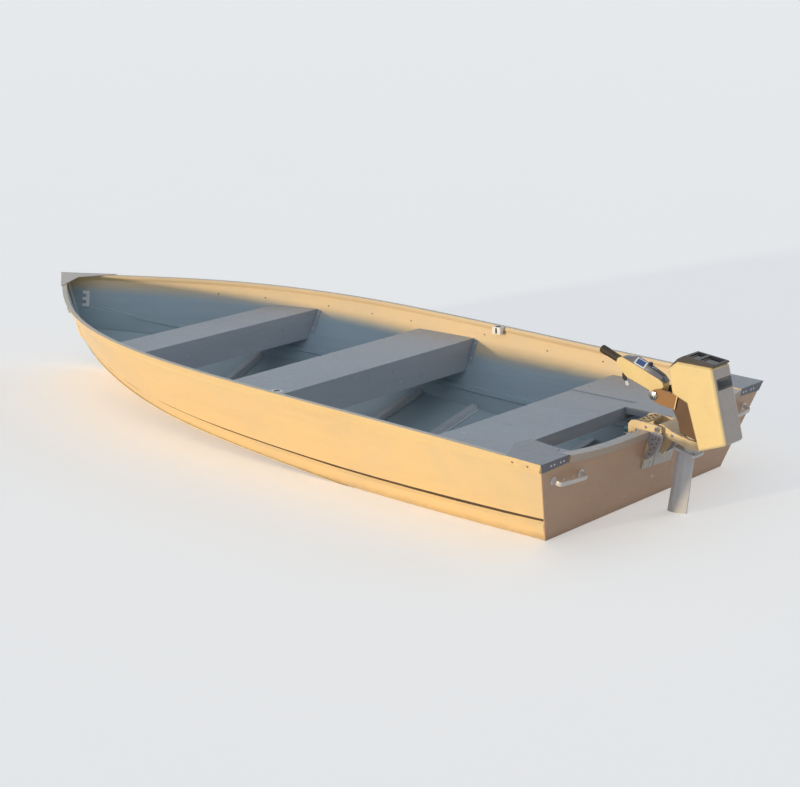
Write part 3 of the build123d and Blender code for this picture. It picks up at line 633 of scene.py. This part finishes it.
def transom_grip(side, sign):
    """Bent strap handle on two feet, in place of the plain round bar."""
    ends = [on_transom(y * sign, z) for y, z in GRIP_FEET]
    across = (ends[1] - ends[0]).normalized()
    length = (ends[1] - ends[0]).length * 1000
    wide = (TRANSOM_UP - across * TRANSOM_UP.dot(across)).normalized()
    fall = [(length - along, height) for along, height in STRAP_RISE[::-1]]
    line = STRAP_RISE + [(length / 2, STRAP_TOP)] + fall
    rows = []
    for i, (along, height) in enumerate(line):
        before, after = line[max(0, i - 1)], line[min(len(line) - 1, i + 1)]
        run, rise = after[0] - before[0], after[1] - before[1]
        normal = (across * -rise + TRANSOM_OUT * run) / math.hypot(run, rise)
        middle = ends[0] + (across * along + TRANSOM_OUT * height) / 1000.0
        rows.append([middle + (normal * t + wide * w) / 1000.0 for t, w in STRAP_SECTION])
    mesh = bmesh.new()
    skin(mesh, rows)
    strap = finish_piece(f"{side}_transom_grip", mesh, "hull", "alloy", sharp=40.0)
    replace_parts(strap, f"{side}_transom_handle")
    mesh = bmesh.new()
    for end in ends:
        turned(mesh, end, TRANSOM_OUT, [(16, 0.3), (16, 2.4), (14.5, 3.4), (9, 3.6)])
        for shift in (-11.5, 11.5):
            dome(mesh, end + (across * shift + TRANSOM_OUT * 3.2) / 1000.0, TRANSOM_OUT, 3.4)
    finish_piece(f"{side}_grip_feet", mesh, "hull", "alloy", sharp=40.0)


# Oarlock blocks: centre of the bore and top of the block. The side slots are dark sheets of painted
# shade, which start just inside the block's faces, at SLOT_FROM from its centre
OARLOCK_X = 1335.0
OARLOCK_Y = 673.65
BLOCK_TOP = 368.0
SLOT_FROM = 16.8
SLOT_T = 0.6
BUSH = (
    (6.6, -30), (6.6, 1.0), (10.5, 1.2), (11.5, 0.6), (11.5, 0.1), (9.0, 0.0), (9.0, -0.4), (6.9, -0.4),
    (6.9, -30),
)
BLOCK_SCREW = ((3.4, -0.3), (3.4, 0.7), (2.6, 1.2), (1.2, 1.2), (1.0, 0.5), (0, 0.5))


def oarlock(side, sign):
    """Bush, screws and side slots of the oarlock block; the slots are dark sheets of painted shade."""
    top = on_hull(OARLOCK_X, OARLOCK_Y * sign, BLOCK_TOP)
    mesh = bmesh.new()
    turned(mesh, top, UP, BUSH, 32)
    finish_piece(f"{side}_oarlock_bush", mesh, "hull", "dark")
    mesh = bmesh.new()
    for dx in (-16, 16):
        turned(mesh, top + on_hull(dx, 0, 0), UP, BLOCK_SCREW, 16)
    finish_piece(f"{side}_oarlock_screws", mesh, "hull", "steel")
    # Painted shade: dark sheets for the side slots
    mesh = bmesh.new()
    aft, fore = OARLOCK_X - 4, OARLOCK_X + 4
    for face in (-1, 1):
        low, high = [OARLOCK_Y * sign + reach * face for reach in (SLOT_FROM, SLOT_FROM + SLOT_T)]
        prism(mesh, [(aft, 339), (fore, 339), (fore, 364), (aft, 364)], low, high, on_hull)
    finish_piece(f"{side}_oarlock_slots", mesh, "hull", "hole", bevel=0.2, steps=1)


# Two pads side by side on the transom: y of the port and starboard edge, z of the foot at each
PADS = ((46, -20, 149, 145), (-24, -148, 145, 139))
PAD_TOP = 271
PAD_CORNER = 5
PAD_T = 6.8
PAD_SCREW_Z = 164.0
PAD_SCREW_IN = 14    # screws' distance from the pad's edges
PAD_SCREW = ((5.5, -0.3), (5.5, 1.0), (4.6, 1.6), (2.4, 1.6), (2.2, 0.5), (0, 0.5))


def transom_pads():
    """Pads that the bracket is clamped on, with two screws in each."""
    mesh = bmesh.new()
    screws = bmesh.new()
    for left, right, left_foot, right_foot in PADS:
        outline = (
            (left, PAD_TOP), (left, left_foot + PAD_CORNER), (left - PAD_CORNER, left_foot),
            (right + PAD_CORNER, right_foot), (right, right_foot + PAD_CORNER), (right, PAD_TOP),
        )
        skin(mesh, [[on_transom(y, z, lift) for y, z in outline] for lift in (0.5, PAD_T)])
        for y in (left - PAD_SCREW_IN, right + PAD_SCREW_IN):
            turned(screws, on_transom(y, PAD_SCREW_Z, PAD_T), TRANSOM_OUT, PAD_SCREW, 20)
    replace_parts(finish_piece("transom_pad_plates", mesh, "hull", "pad", bevel=1.2), "transom_pad")
    finish_piece("pad_screws", screws, "hull", "steel")


# Tiller, in its own drawing: outline of the body in x and z, then rows of the cover along x with half
# its width, the height of its edge and crown, and half the crown's width
TILLER_OUTLINE = (
    (-19.5, -8), (-12, -19.5), (14, -19.5), (37, -2), (142, -6), (184, 9), (202, 18), (203.5, 26),
    (203.5, 40), (198, 48), (186, 55), (150, 57), (60, 58), (14, 58), (-8, 54), (-17, 42), (-20, 20),
)
COVER_ROWS = (
    (-14, 18, 53, 55, 9), (2, 20.5, 56, 72, 12), (40, 21, 57, 76, 13), (86, 21, 57.5, 80, 13),
    (132, 21, 57.5, 80, 13), (152, 20.5, 57, 73, 13), (178, 19, 56, 60, 13), (192, 15, 50, 52, 10),
)


def tiller_shell():
    """Cream body of the tiller."""
    mesh = bmesh.new()
    prism(mesh, TILLER_OUTLINE, -21.8, 21.8, on_tiller)
    shell = finish_piece("tiller_shell", mesh, "tiller", "white", bevel=3.0, steps=3)
    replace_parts(shell, "tiller_body")


def tiller_cover():
    """Grey cover along the tiller's top, domed across."""
    mesh = bmesh.new()
    rows = []
    for x, half, edge, top, crown in COVER_ROWS:
        port = [(half, edge), (half, edge + 3), (crown, top - 1.2), (crown * 0.6, top)]
        section = [(-y, z) for y, z in port] + port[::-1]
        rows.append([on_tiller(x, y, z) for y, z in section])
    skin(mesh, rows)
    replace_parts(finish_piece("tiller_cover", mesh, "tiller", "cover", sharp=24.0), "tiller_top")


# Display on the cover's port side: sections in y and z at DISPLAY_X, which fall towards the grip
DISPLAY_X = 86
DISPLAY_FALL = 0.03
FRAME_SECTION = ((4, 77), (20.5, 60), (24.5, 63), (23.5, 66), (10, 85.5), (4, 85.5))
SCREEN_SECTION = ((10.6, 83.2), (21.9, 66.9), (23.4, 67.8), (12.0, 84.2))
KNOB = ((8.5, 0), (8.5, 2), (7.6, 3), (7.6, 8), (6.6, 9.4), (0, 9.8))
BUTTON = ((3.2, 0), (3.2, 1.0), (2.2, 1.5), (0, 1.6))


def display_part(name, section, ends, key, bevel):
    """Section drawn along the tiller between two x."""
    mesh = bmesh.new()
    rows = []
    for x in ends:
        rise = (DISPLAY_X - x) * DISPLAY_FALL
        rows.append([on_tiller(x, y, z + rise) for y, z in section])
    skin(mesh, rows)
    finish_piece(name, mesh, "tiller", key, bevel=bevel)


def tiller_controls():
    """Display, knob, and glossy panel with three buttons."""
    display_part("tiller_screen_frame", FRAME_SECTION, (80, 130), "frame", 1.6)
    display_part("tiller_screen", SCREEN_SECTION, (87, 123), "screen", 0.0)
    mesh = bmesh.new()
    turned(mesh, on_tiller(76, -5, 78), TILLER_UP, KNOB, 20)
    finish_piece("tiller_knob", mesh, "tiller", "dark")
    mesh = bmesh.new()
    prism(mesh, [(4, 72), (64, 77.4), (64, 78.6), (4, 73.2)], -10.5, 10.5, on_tiller)
    finish_piece("tiller_panel", mesh, "tiller", "gloss", bevel=0.4, steps=1)
    mesh = bmesh.new()
    for x, y, z in ((56, 6, 77.6), (56, -6, 77.6), (46, 0, 76.7)):
        turned(mesh, on_tiller(x, y, z), TILLER_UP, BUTTON, 16)
    finish_piece("tiller_buttons", mesh, "tiller", "frame")


GRIP_X = 204.6
GRIP_Z = 31


def ribs(first, end, pitch, low, high):
    """Profile of the ribs round the grip, between two places along it."""
    profile = []
    x = first
    while x < end:
        profile += [(low, x), (high, x + 0.8), (high, x + 2.6), (low, x + 3.4)]
        x += pitch
    return profile


def tiller_grip():
    """Ribbed rubber sleeve with a smooth collar and a rounded end."""
    profile = [(11, 0), (14.2, 0.6), (14.6, 3), (14.0, 7), (13.2, 8)]
    profile += ribs(9.0, 50, 4.2, 13.6, 14.6)
    profile += [(15.2, 53), (15.6, 56)]
    profile += ribs(57.0, 82, 4.4, 14.6, 15.9)
    profile += [(15.4, 84.5), (14.2, 86.6), (11, 87.6), (0, 87.8)]
    mesh = bmesh.new()
    turned(mesh, on_tiller(GRIP_X, 0, GRIP_Z), direction(on_tiller, 100, 0), profile, 32)
    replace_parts(finish_piece("tiller_sleeve", mesh, "tiller", "grip", sharp=50.0), "tiller_grip")


COVER_Y = 46.6
PIVOT_COVER = (
    (15.5, -5.6), (17.5, -5.2), (17.5, -1.2), (16.5, 0.2), (14.5, 0.8), (13.5, 0.2), (9, 1.2), (4, 1.7),
    (0, 1.8),
)


def pivot_covers():
    """Round covers over the ends of the tiller's pivot."""
    for side, sign in SIDES:
        mesh = bmesh.new()
        turned(mesh, on_tiller(0, COVER_Y * sign, 0), Vector((0, sign, 0)), PIVOT_COVER, 36)
        finish_piece(f"{side}_pivot_cover", mesh, "motor", "steel")


def stop_switch():
    """Stop switch and its clip, under the tiller's port side."""
    mesh = bmesh.new()
    prism(mesh, [(150, -4), (168, 2), (160, -22), (146, -28), (140, -20)], 8, 17, on_tiller)
    finish_piece("stop_switch", mesh, "tiller", "dark", bevel=1.5)
    mesh = bmesh.new()
    prism(mesh, [(136, -20), (146, -26), (138, -40), (126, -38), (124, -30)], 9.5, 15.5, on_tiller)
    finish_piece("stop_clip", mesh, "tiller", "frame", bevel=1.2)


# Lid, in the motor's drawing: lines along and across its top, and the strips that hold a sunk panel
LID_X = (-38.0, -31.0, 32.0, 45.0, 82.0, 92.0)
LID_Y = (-47.0, -37.0, 37.0, 47.0)
LID_FORE_Z = 606.0
LID_SLOPE = 0.125
PANEL_STRIPS = (1, 3)
PANEL_INSET = 3
PANEL_DEPTH = 8.0


def lid_top(x):
    """Height of the lid's top, which falls towards the bow."""
    return LID_FORE_Z + (LID_X[-1] - x) * LID_SLOPE


def sunk_panel(mesh, corners, aft, fore):
    """Floor and walls of a panel between the corners of its opening."""
    back, front = aft + PANEL_INSET, fore - PANEL_INSET
    right, left = LID_Y[1] + PANEL_INSET, LID_Y[2] - PANEL_INSET
    spots = ((back, right), (front, right), (front, left), (back, left))
    deep = [mesh.verts.new(on_motor(x, y, lid_top(x) - PANEL_DEPTH)) for x, y in spots]
    for k in range(4):
        m = (k + 1) % 4
        mesh.faces.new((corners[k], corners[m], deep[m], deep[k])).material_index = 1
    mesh.faces.new(deep).material_index = 1


def motor_lid():
    """Lid with slanted sides, and two sunk panels with a bar between them to lift it by."""
    mesh = bmesh.new()
    grid = [[mesh.verts.new(on_motor(x, y, lid_top(x))) for y in LID_Y] for x in LID_X]
    for i in range(len(LID_X) - 1):
        for j in range(len(LID_Y) - 1):
            corners = [grid[i][j], grid[i + 1][j], grid[i + 1][j + 1], grid[i][j + 1]]
            if j == 1 and i in PANEL_STRIPS:
                sunk_panel(mesh, corners, LID_X[i], LID_X[i + 1])
            else:
                mesh.faces.new(corners)

    def pair(x, half, z):
        """Starboard and port point."""
        return [mesh.verts.new(on_motor(x, y, z)) for y in (-half, half)]

    aft = pair(-41.0, 56.0, 613.2)
    fore = pair(110.0, 56.0, 579.5)
    foot = pair(136.0, 56.0, 543.2)
    nose = pair(112.0, 50.0, 588.0)
    for side, edge in ((1, -1), (0, 0)):
        line = [row[edge] for row in grid]
        mesh.faces.new([aft[side]] + line + [fore[side]])
        mesh.faces.new((line[-1], fore[side], nose[side]))
        mesh.faces.new((nose[side], fore[side], foot[side]))
    mesh.faces.new([aft[0]] + grid[0] + [aft[1]])
    mesh.faces.new(grid[-1] + [nose[1], nose[0]])
    mesh.faces.new((nose[1], nose[0], foot[0], foot[1]))
    mesh.faces.new((foot[1], foot[0], fore[0], fore[1]))
    mesh.faces.new((aft[1], fore[1], fore[0], aft[0]))
    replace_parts(finish_piece("lid", mesh, "motor", "lid", "gloss", bevel=2.0, sharp=25.0), "motor_lid")


# Head's aft face, in the motor's drawing: its foot in x and z, and x gained for each z
BACK_X = -168
BACK_Z = 361
BACK_SLOPE = 0.51
BACK_OUT = direction(on_motor, -1, BACK_SLOPE)
# Window on that face: name, finish, half width, lowest and highest edge, height over the face
WINDOW_PARTS = (
    ("head_window_frame", "lid", 46, 176, 212, 1.6),
    ("head_window", "gloss", 41, 181, 207, 2.0),
)
WINDOW_CORNER = 4.0
SLATS = 5
SLAT_FIRST = 184.5
SLAT_PITCH = 4.6


def on_back(across, along, lift):
    """Point on the head's aft face, or lift outside it."""
    return on_motor(BACK_X + BACK_SLOPE * along, across, BACK_Z + along) + BACK_OUT * lift / 1000.0


def head_window():
    """Window in its frame on the head's aft face, with slats over it."""
    for name, key, wide, low, high, rise in WINDOW_PARTS:
        mesh = bmesh.new()
        rows = []
        for lift, inset in ((-2.0, 0.0), (rise - 0.6, 0.0), (rise, 1.0)):
            side, foot, top = wide - inset, low + inset, high - inset
            flat, lower, upper = side - WINDOW_CORNER, foot + WINDOW_CORNER, top - WINDOW_CORNER
            outline = (
                (-flat, foot), (flat, foot), (side, lower), (side, upper),
                (flat, top), (-flat, top), (-side, upper), (-side, lower),
            )
            rows.append([on_back(y, z, lift) for y, z in outline])
        skin(mesh, rows)
        finish_piece(name, mesh, "motor", key)
    mesh = bmesh.new()
    for k in range(SLATS):
        z = SLAT_FIRST + k * SLAT_PITCH
        rows = []
        for lift, half in ((1.8, 1.0), (3.2, 0.6)):
            outline = ((-38, z - half), (38, z - half), (38, z + half), (-38, z + half))
            rows.append([on_back(y, height, lift) for y, height in outline])
        skin(mesh, rows)
    finish_piece("head_window_slats", mesh, "motor", "dark")


def neck_edges():
    """Pale edges down the front of the neck."""
    mesh = bmesh.new()
    for sign in (1, -1):
        prism(mesh, [(81.5, 394), (86, 393), (86, 449), (81.5, 448)], 39.2 * sign, 41.4 * sign, on_motor)
    finish_piece("neck_edges", mesh, "motor", "bracket", bevel=0.6)


# Truss on the bracket's top: half its length across the boat, the bars' x, and their height
TRUSS_HALF = 48
TRUSS_BARS = ((24, 27), (61, 64))
TRUSS_Z = (337.0, 340.0)
TRUSS_PITCH = 24
# Braces: heights of their tops, which differ so that their corners don't meet, and their size
BRACE_TOPS = (339.6, 339.4)
BRACE_H = 2.5
BRACE_HALF_W = 1.4
BRACE_X = (26, 62)


def brace(mesh, start, end, top):
    """Slanted bar of the truss between two places in x and y."""
    (xa, ya), (xb, yb) = start, end
    near = ((xa, ya - BRACE_HALF_W), (xa, ya + BRACE_HALF_W))
    far = ((xb, yb + BRACE_HALF_W), (xb, yb - BRACE_HALF_W))
    slab(mesh, near + far, top - BRACE_H, top)


def bracket_truss():
    """Two bars with slanted braces between them, and a dark sheet under them as painted shade in the hollow.
    """
    mesh = bmesh.new()
    for aft, fore in TRUSS_BARS:
        corners = ((aft, -TRUSS_HALF), (aft, TRUSS_HALF), (fore, TRUSS_HALF), (fore, -TRUSS_HALF))
        slab(mesh, corners, *TRUSS_Z)
    aft, fore = BRACE_X
    for first in range(-TRUSS_HALF, TRUSS_HALF, TRUSS_PITCH):
        middle = first + TRUSS_PITCH / 2
        brace(mesh, (aft, first), (fore, middle), BRACE_TOPS[0])
        brace(mesh, (fore, middle), (aft, first + TRUSS_PITCH), BRACE_TOPS[1])
    finish_piece("bracket_truss", mesh, "hull", "bracket", bevel=0.5, steps=1)
    # Painted shade: a dark sheet under the truss
    mesh = bmesh.new()
    slab(mesh, ((24.5, -53), (63.5, -53), (63.5, 53), (24.5, 53)), 336.5, 337.5)
    finish_piece("bracket_truss_painted_shade", mesh, "hull", "hole")


# Bracket's bolts on each side: x, z and size. Then its side plates' outline and the holes' places, where
# dark discs stand as painted shade
BRACKET_BOLTS = ((76, 286, 5.5), (16, 322, 3.6), (4, 212, 3.2))
SIDE_PLATE = (
    (-58, 306), (-60, 292), (-54, 272), (-38, 244), (-18, 216), (8, 198), (26, 196), (22, 214), (6, 236),
    (2, 252), (12, 272), (18, 288), (8, 302), (-14, 310), (-40, 312),
)
SIDE_PLATE_Y = (61.5, 65.0)
HOLES = ((-44, 284), (-34, 268), (-24, 250), (-14, 262), (-30, 286), (-8, 240), (-16, 280), (-2, 222))
HOLE = ((2.8, -0.3), (2.8, 0.4), (0, 0.5))
LEG_SCREW = ((4.5, -0.3), (4.5, 2.6), (3.8, 3.2), (2.2, 3.2), (2.0, 1.4), (0, 1.4))


def bracket_details():
    """Bolts, side plates and holes on both sides of the brackets. The holes are dark discs of painted shade.
    """
    bolts = bmesh.new()
    plates = bmesh.new()
    holes = bmesh.new()
    swivel = bmesh.new()
    for sign in (1, -1):
        out = Vector((0, sign, 0))
        for x, z, size in BRACKET_BOLTS:
            hex_bolt(bolts, on_hull(x, 62 * sign, z), out, size, 3.2)
        inner, outer = SIDE_PLATE_Y
        prism(plates, SIDE_PLATE, inner * sign, outer * sign, on_hull)
        for x, z in HOLES:
            turned(holes, on_hull(x, outer * sign, z), out, HOLE, 12)
        for x, z in ((66, 296), (118, 306)):
            hex_bolt(swivel, on_motor(x, 42 * sign, z), out, 4.2, 2.8)
    finish_piece("bracket_bolts", bolts, "hull", "steel")
    finish_piece("bracket_side_plates", plates, "hull", "silver", bevel=1.6, steps=3)
    finish_piece("bracket_holes", holes, "hull", "hole")
    finish_piece("swivel_bolts", swivel, "motor_mount", "steel")


def leg_top_screws():
    mesh = bmesh.new()
    for x in (-28, 48):
        for y in (-27, 27):
            turned(mesh, on_motor(x, y, 255), MOTOR_UP, LEG_SCREW, 18)
    finish_piece("leg_top_screws", mesh, "motor", "steel")


# Grips on the clamp screws: side, y and turn in degrees. WING is the profile of each half
CLAMP_GRIPS = (("port", 30.0, 0.0), ("starboard", -30.0, 50.0))
CLAMP_Z = 244.0         # height of both screws
CLAMP_PLATE_T = 4.4     # transom's thickness with the gap before it
CLAMP_REACH = 0.1055    # from the transom to the grip's middle, in metres
CLAMP_WING_OUT = 0.009  # from there to each wing
WING = ((7.2, 0), (8.6, 3), (9.4, 9), (8.4, 13), (5, 15), (0, 15.4))


def clamp_grips():
    """Two-winged grips at the fore ends of the clamp screws."""
    along = Vector((1, 0, RAKE)).normalized()
    for side, y, turn in CLAMP_GRIPS:
        foot = on_hull(RAKE * (CORNER_Z - CLAMP_Z) + CLAMP_PLATE_T * math.hypot(1, RAKE), y, CLAMP_Z)
        middle = foot + along * CLAMP_REACH
        a = math.radians(turn)
        bar = TRANSOM_UP * math.cos(a) - Vector((0, 1, 0)) * math.sin(a)
        mesh = bmesh.new()
        for end in (1, -1):
            turned(mesh, middle + bar * end * CLAMP_WING_OUT, bar * end, WING, 20)
        finish_piece(f"{side}_clamp_grip", mesh, "hull", "teal")


# Floor: spacing of its edge's points along the hull, how far it reaches under the plates and the
# transom, and how far out, all in metres
EDGE_STEP = 0.06
UNDER_SIDES = 0.0016
UNDER_TRANSOM = 0.002
FLOOR_REACH = 90.0
FLOOR_MIDDLE = Vector((1.3, 0, 0))


def waterline():
    """Outline of the hull's outer face where the floor meets it, port side from the transom forward."""
    found = {}
    for node in ("port_hull_side", "port_hull_bottom", "transom", "keel", "stem"):
        data = NODES[node].data
        for edge in data.edges:
            a, b = (data.vertices[i].co for i in edge.vertices)
            if (a.z > 0) != (b.z > 0):
                t = a.z / (a.z - b.z)
                x, y = a.x + (b.x - a.x) * t, a.y + (b.y - a.y) * t
                key = round(x / EDGE_STEP)
                if y >= 0 and (key not in found or found[key][1] < y):
                    found[key] = (x, y)
    return [found[key] for key in sorted(found)]


def make_floor():
    """Pale floor at the water's surface, open inside the hull."""
    port = [(x, max(0.0, y - UNDER_SIDES)) for x, y in waterline()]
    port[0] = (port[0][0] + UNDER_TRANSOM, port[0][1])
    edge = port + [(x, -y) for x, y in reversed(port)]
    mesh = bmesh.new()
    inner = [mesh.verts.new((x, y, 0)) for x, y in edge]
    outer = []
    for x, y in edge:
        way = Vector((x, y, 0)) - FLOOR_MIDDLE
        outer.append(mesh.verts.new(FLOOR_MIDDLE + way.normalized() * FLOOR_REACH))
    for i in range(len(edge)):
        j = (i + 1) % len(edge)
        if (inner[i].co - inner[j].co).length > MERGED:
            mesh.faces.new((inner[i], inner[j], outer[j], outer[i]))
    mesh.normal_update()
    for face in mesh.faces:
        if face.normal.z < 0:
            face.normal_flip()
    data = bpy.data.meshes.new("floor")
    mesh.to_mesh(data)
    mesh.free()
    data.materials.append(floor_paint())
    floor = bpy.data.objects.new("floor", data)
    bpy.context.scene.collection.objects.link(floor)


def floor_paint():
    """Pale grey that camera, gloss and glass see a little lighter, with the shadows kept."""
    n = Nodes("floor_pale")
    clouds = n.ramp(n.noise(1.5, 3), 0.3, 0.7, 0.0, 0.08)
    n.link(n.mix(clouds, rgb(232, 232, 232), rgb(222, 222, 224)), n.shader.inputs["Base Color"])
    n.shader.inputs["Roughness"].default_value = 0.8
    ray = n.add("ShaderNodeLightPath").outputs
    mirrored = n.math("MAXIMUM", ray["Is Glossy Ray"], ray["Is Transmission Ray"])
    seen = n.math("MAXIMUM", ray["Is Camera Ray"], mirrored)
    n.shader.inputs["Emission Color"].default_value = (*rgb(255, 251, 246), 1.0)
    n.link(n.math("MULTIPLY", seen, 0.34), n.shader.inputs["Emission Strength"])
    return n.material


def make_world():
    """Sky that lights the boat, and a pale backdrop for camera, gloss and glass."""
    world = bpy.data.worlds.new("world")
    world.use_nodes = True
    tree = world.node_tree
    sky = tree.nodes["Background"]
    sky.inputs["Color"].default_value = SKY
    sky.inputs["Strength"].default_value = SKY_STRENGTH
    pale = tree.nodes.new("ShaderNodeBackground")
    pale.inputs["Color"].default_value = BACKDROP
    pale.inputs["Strength"].default_value = 1.0
    ray = tree.nodes.new("ShaderNodeLightPath")
    seen = ray.outputs["Is Camera Ray"]
    for name in ("Is Glossy Ray", "Is Transmission Ray"):
        either = tree.nodes.new("ShaderNodeMath")
        either.operation = "MAXIMUM"
        tree.links.new(seen, either.inputs[0])
        tree.links.new(ray.outputs[name], either.inputs[1])
        seen = either.outputs[0]
    choice = tree.nodes.new("ShaderNodeMixShader")
    tree.links.new(seen, choice.inputs[0])
    tree.links.new(sky.outputs[0], choice.inputs[1])
    tree.links.new(pale.outputs[0], choice.inputs[2])
    tree.links.new(choice.outputs[0], tree.nodes["World Output"].inputs["Surface"])
    bpy.context.scene.world = world


def make_lamps():
    for name, way, power, spread, tint in LAMPS:
        data = bpy.data.lights.new(name, "SUN")
        data.energy = power
        data.angle = math.radians(spread)
        data.color = tint
        lamp = bpy.data.objects.new(name, data)
        bpy.context.scene.collection.objects.link(lamp)
        lamp.rotation_euler = Vector(way).to_track_quat("Z", "Y").to_euler()


make_camera()
dress_nodes()
hull_details()
tiller_shell()
tiller_cover()
tiller_controls()
tiller_grip()
pivot_covers()
stop_switch()
motor_lid()
head_window()
neck_edges()
bracket_truss()
bracket_details()
leg_top_screws()
clamp_grips()
make_floor()
make_world()
make_lamps()
bpy.context.scene.view_settings.view_transform = "Standard"
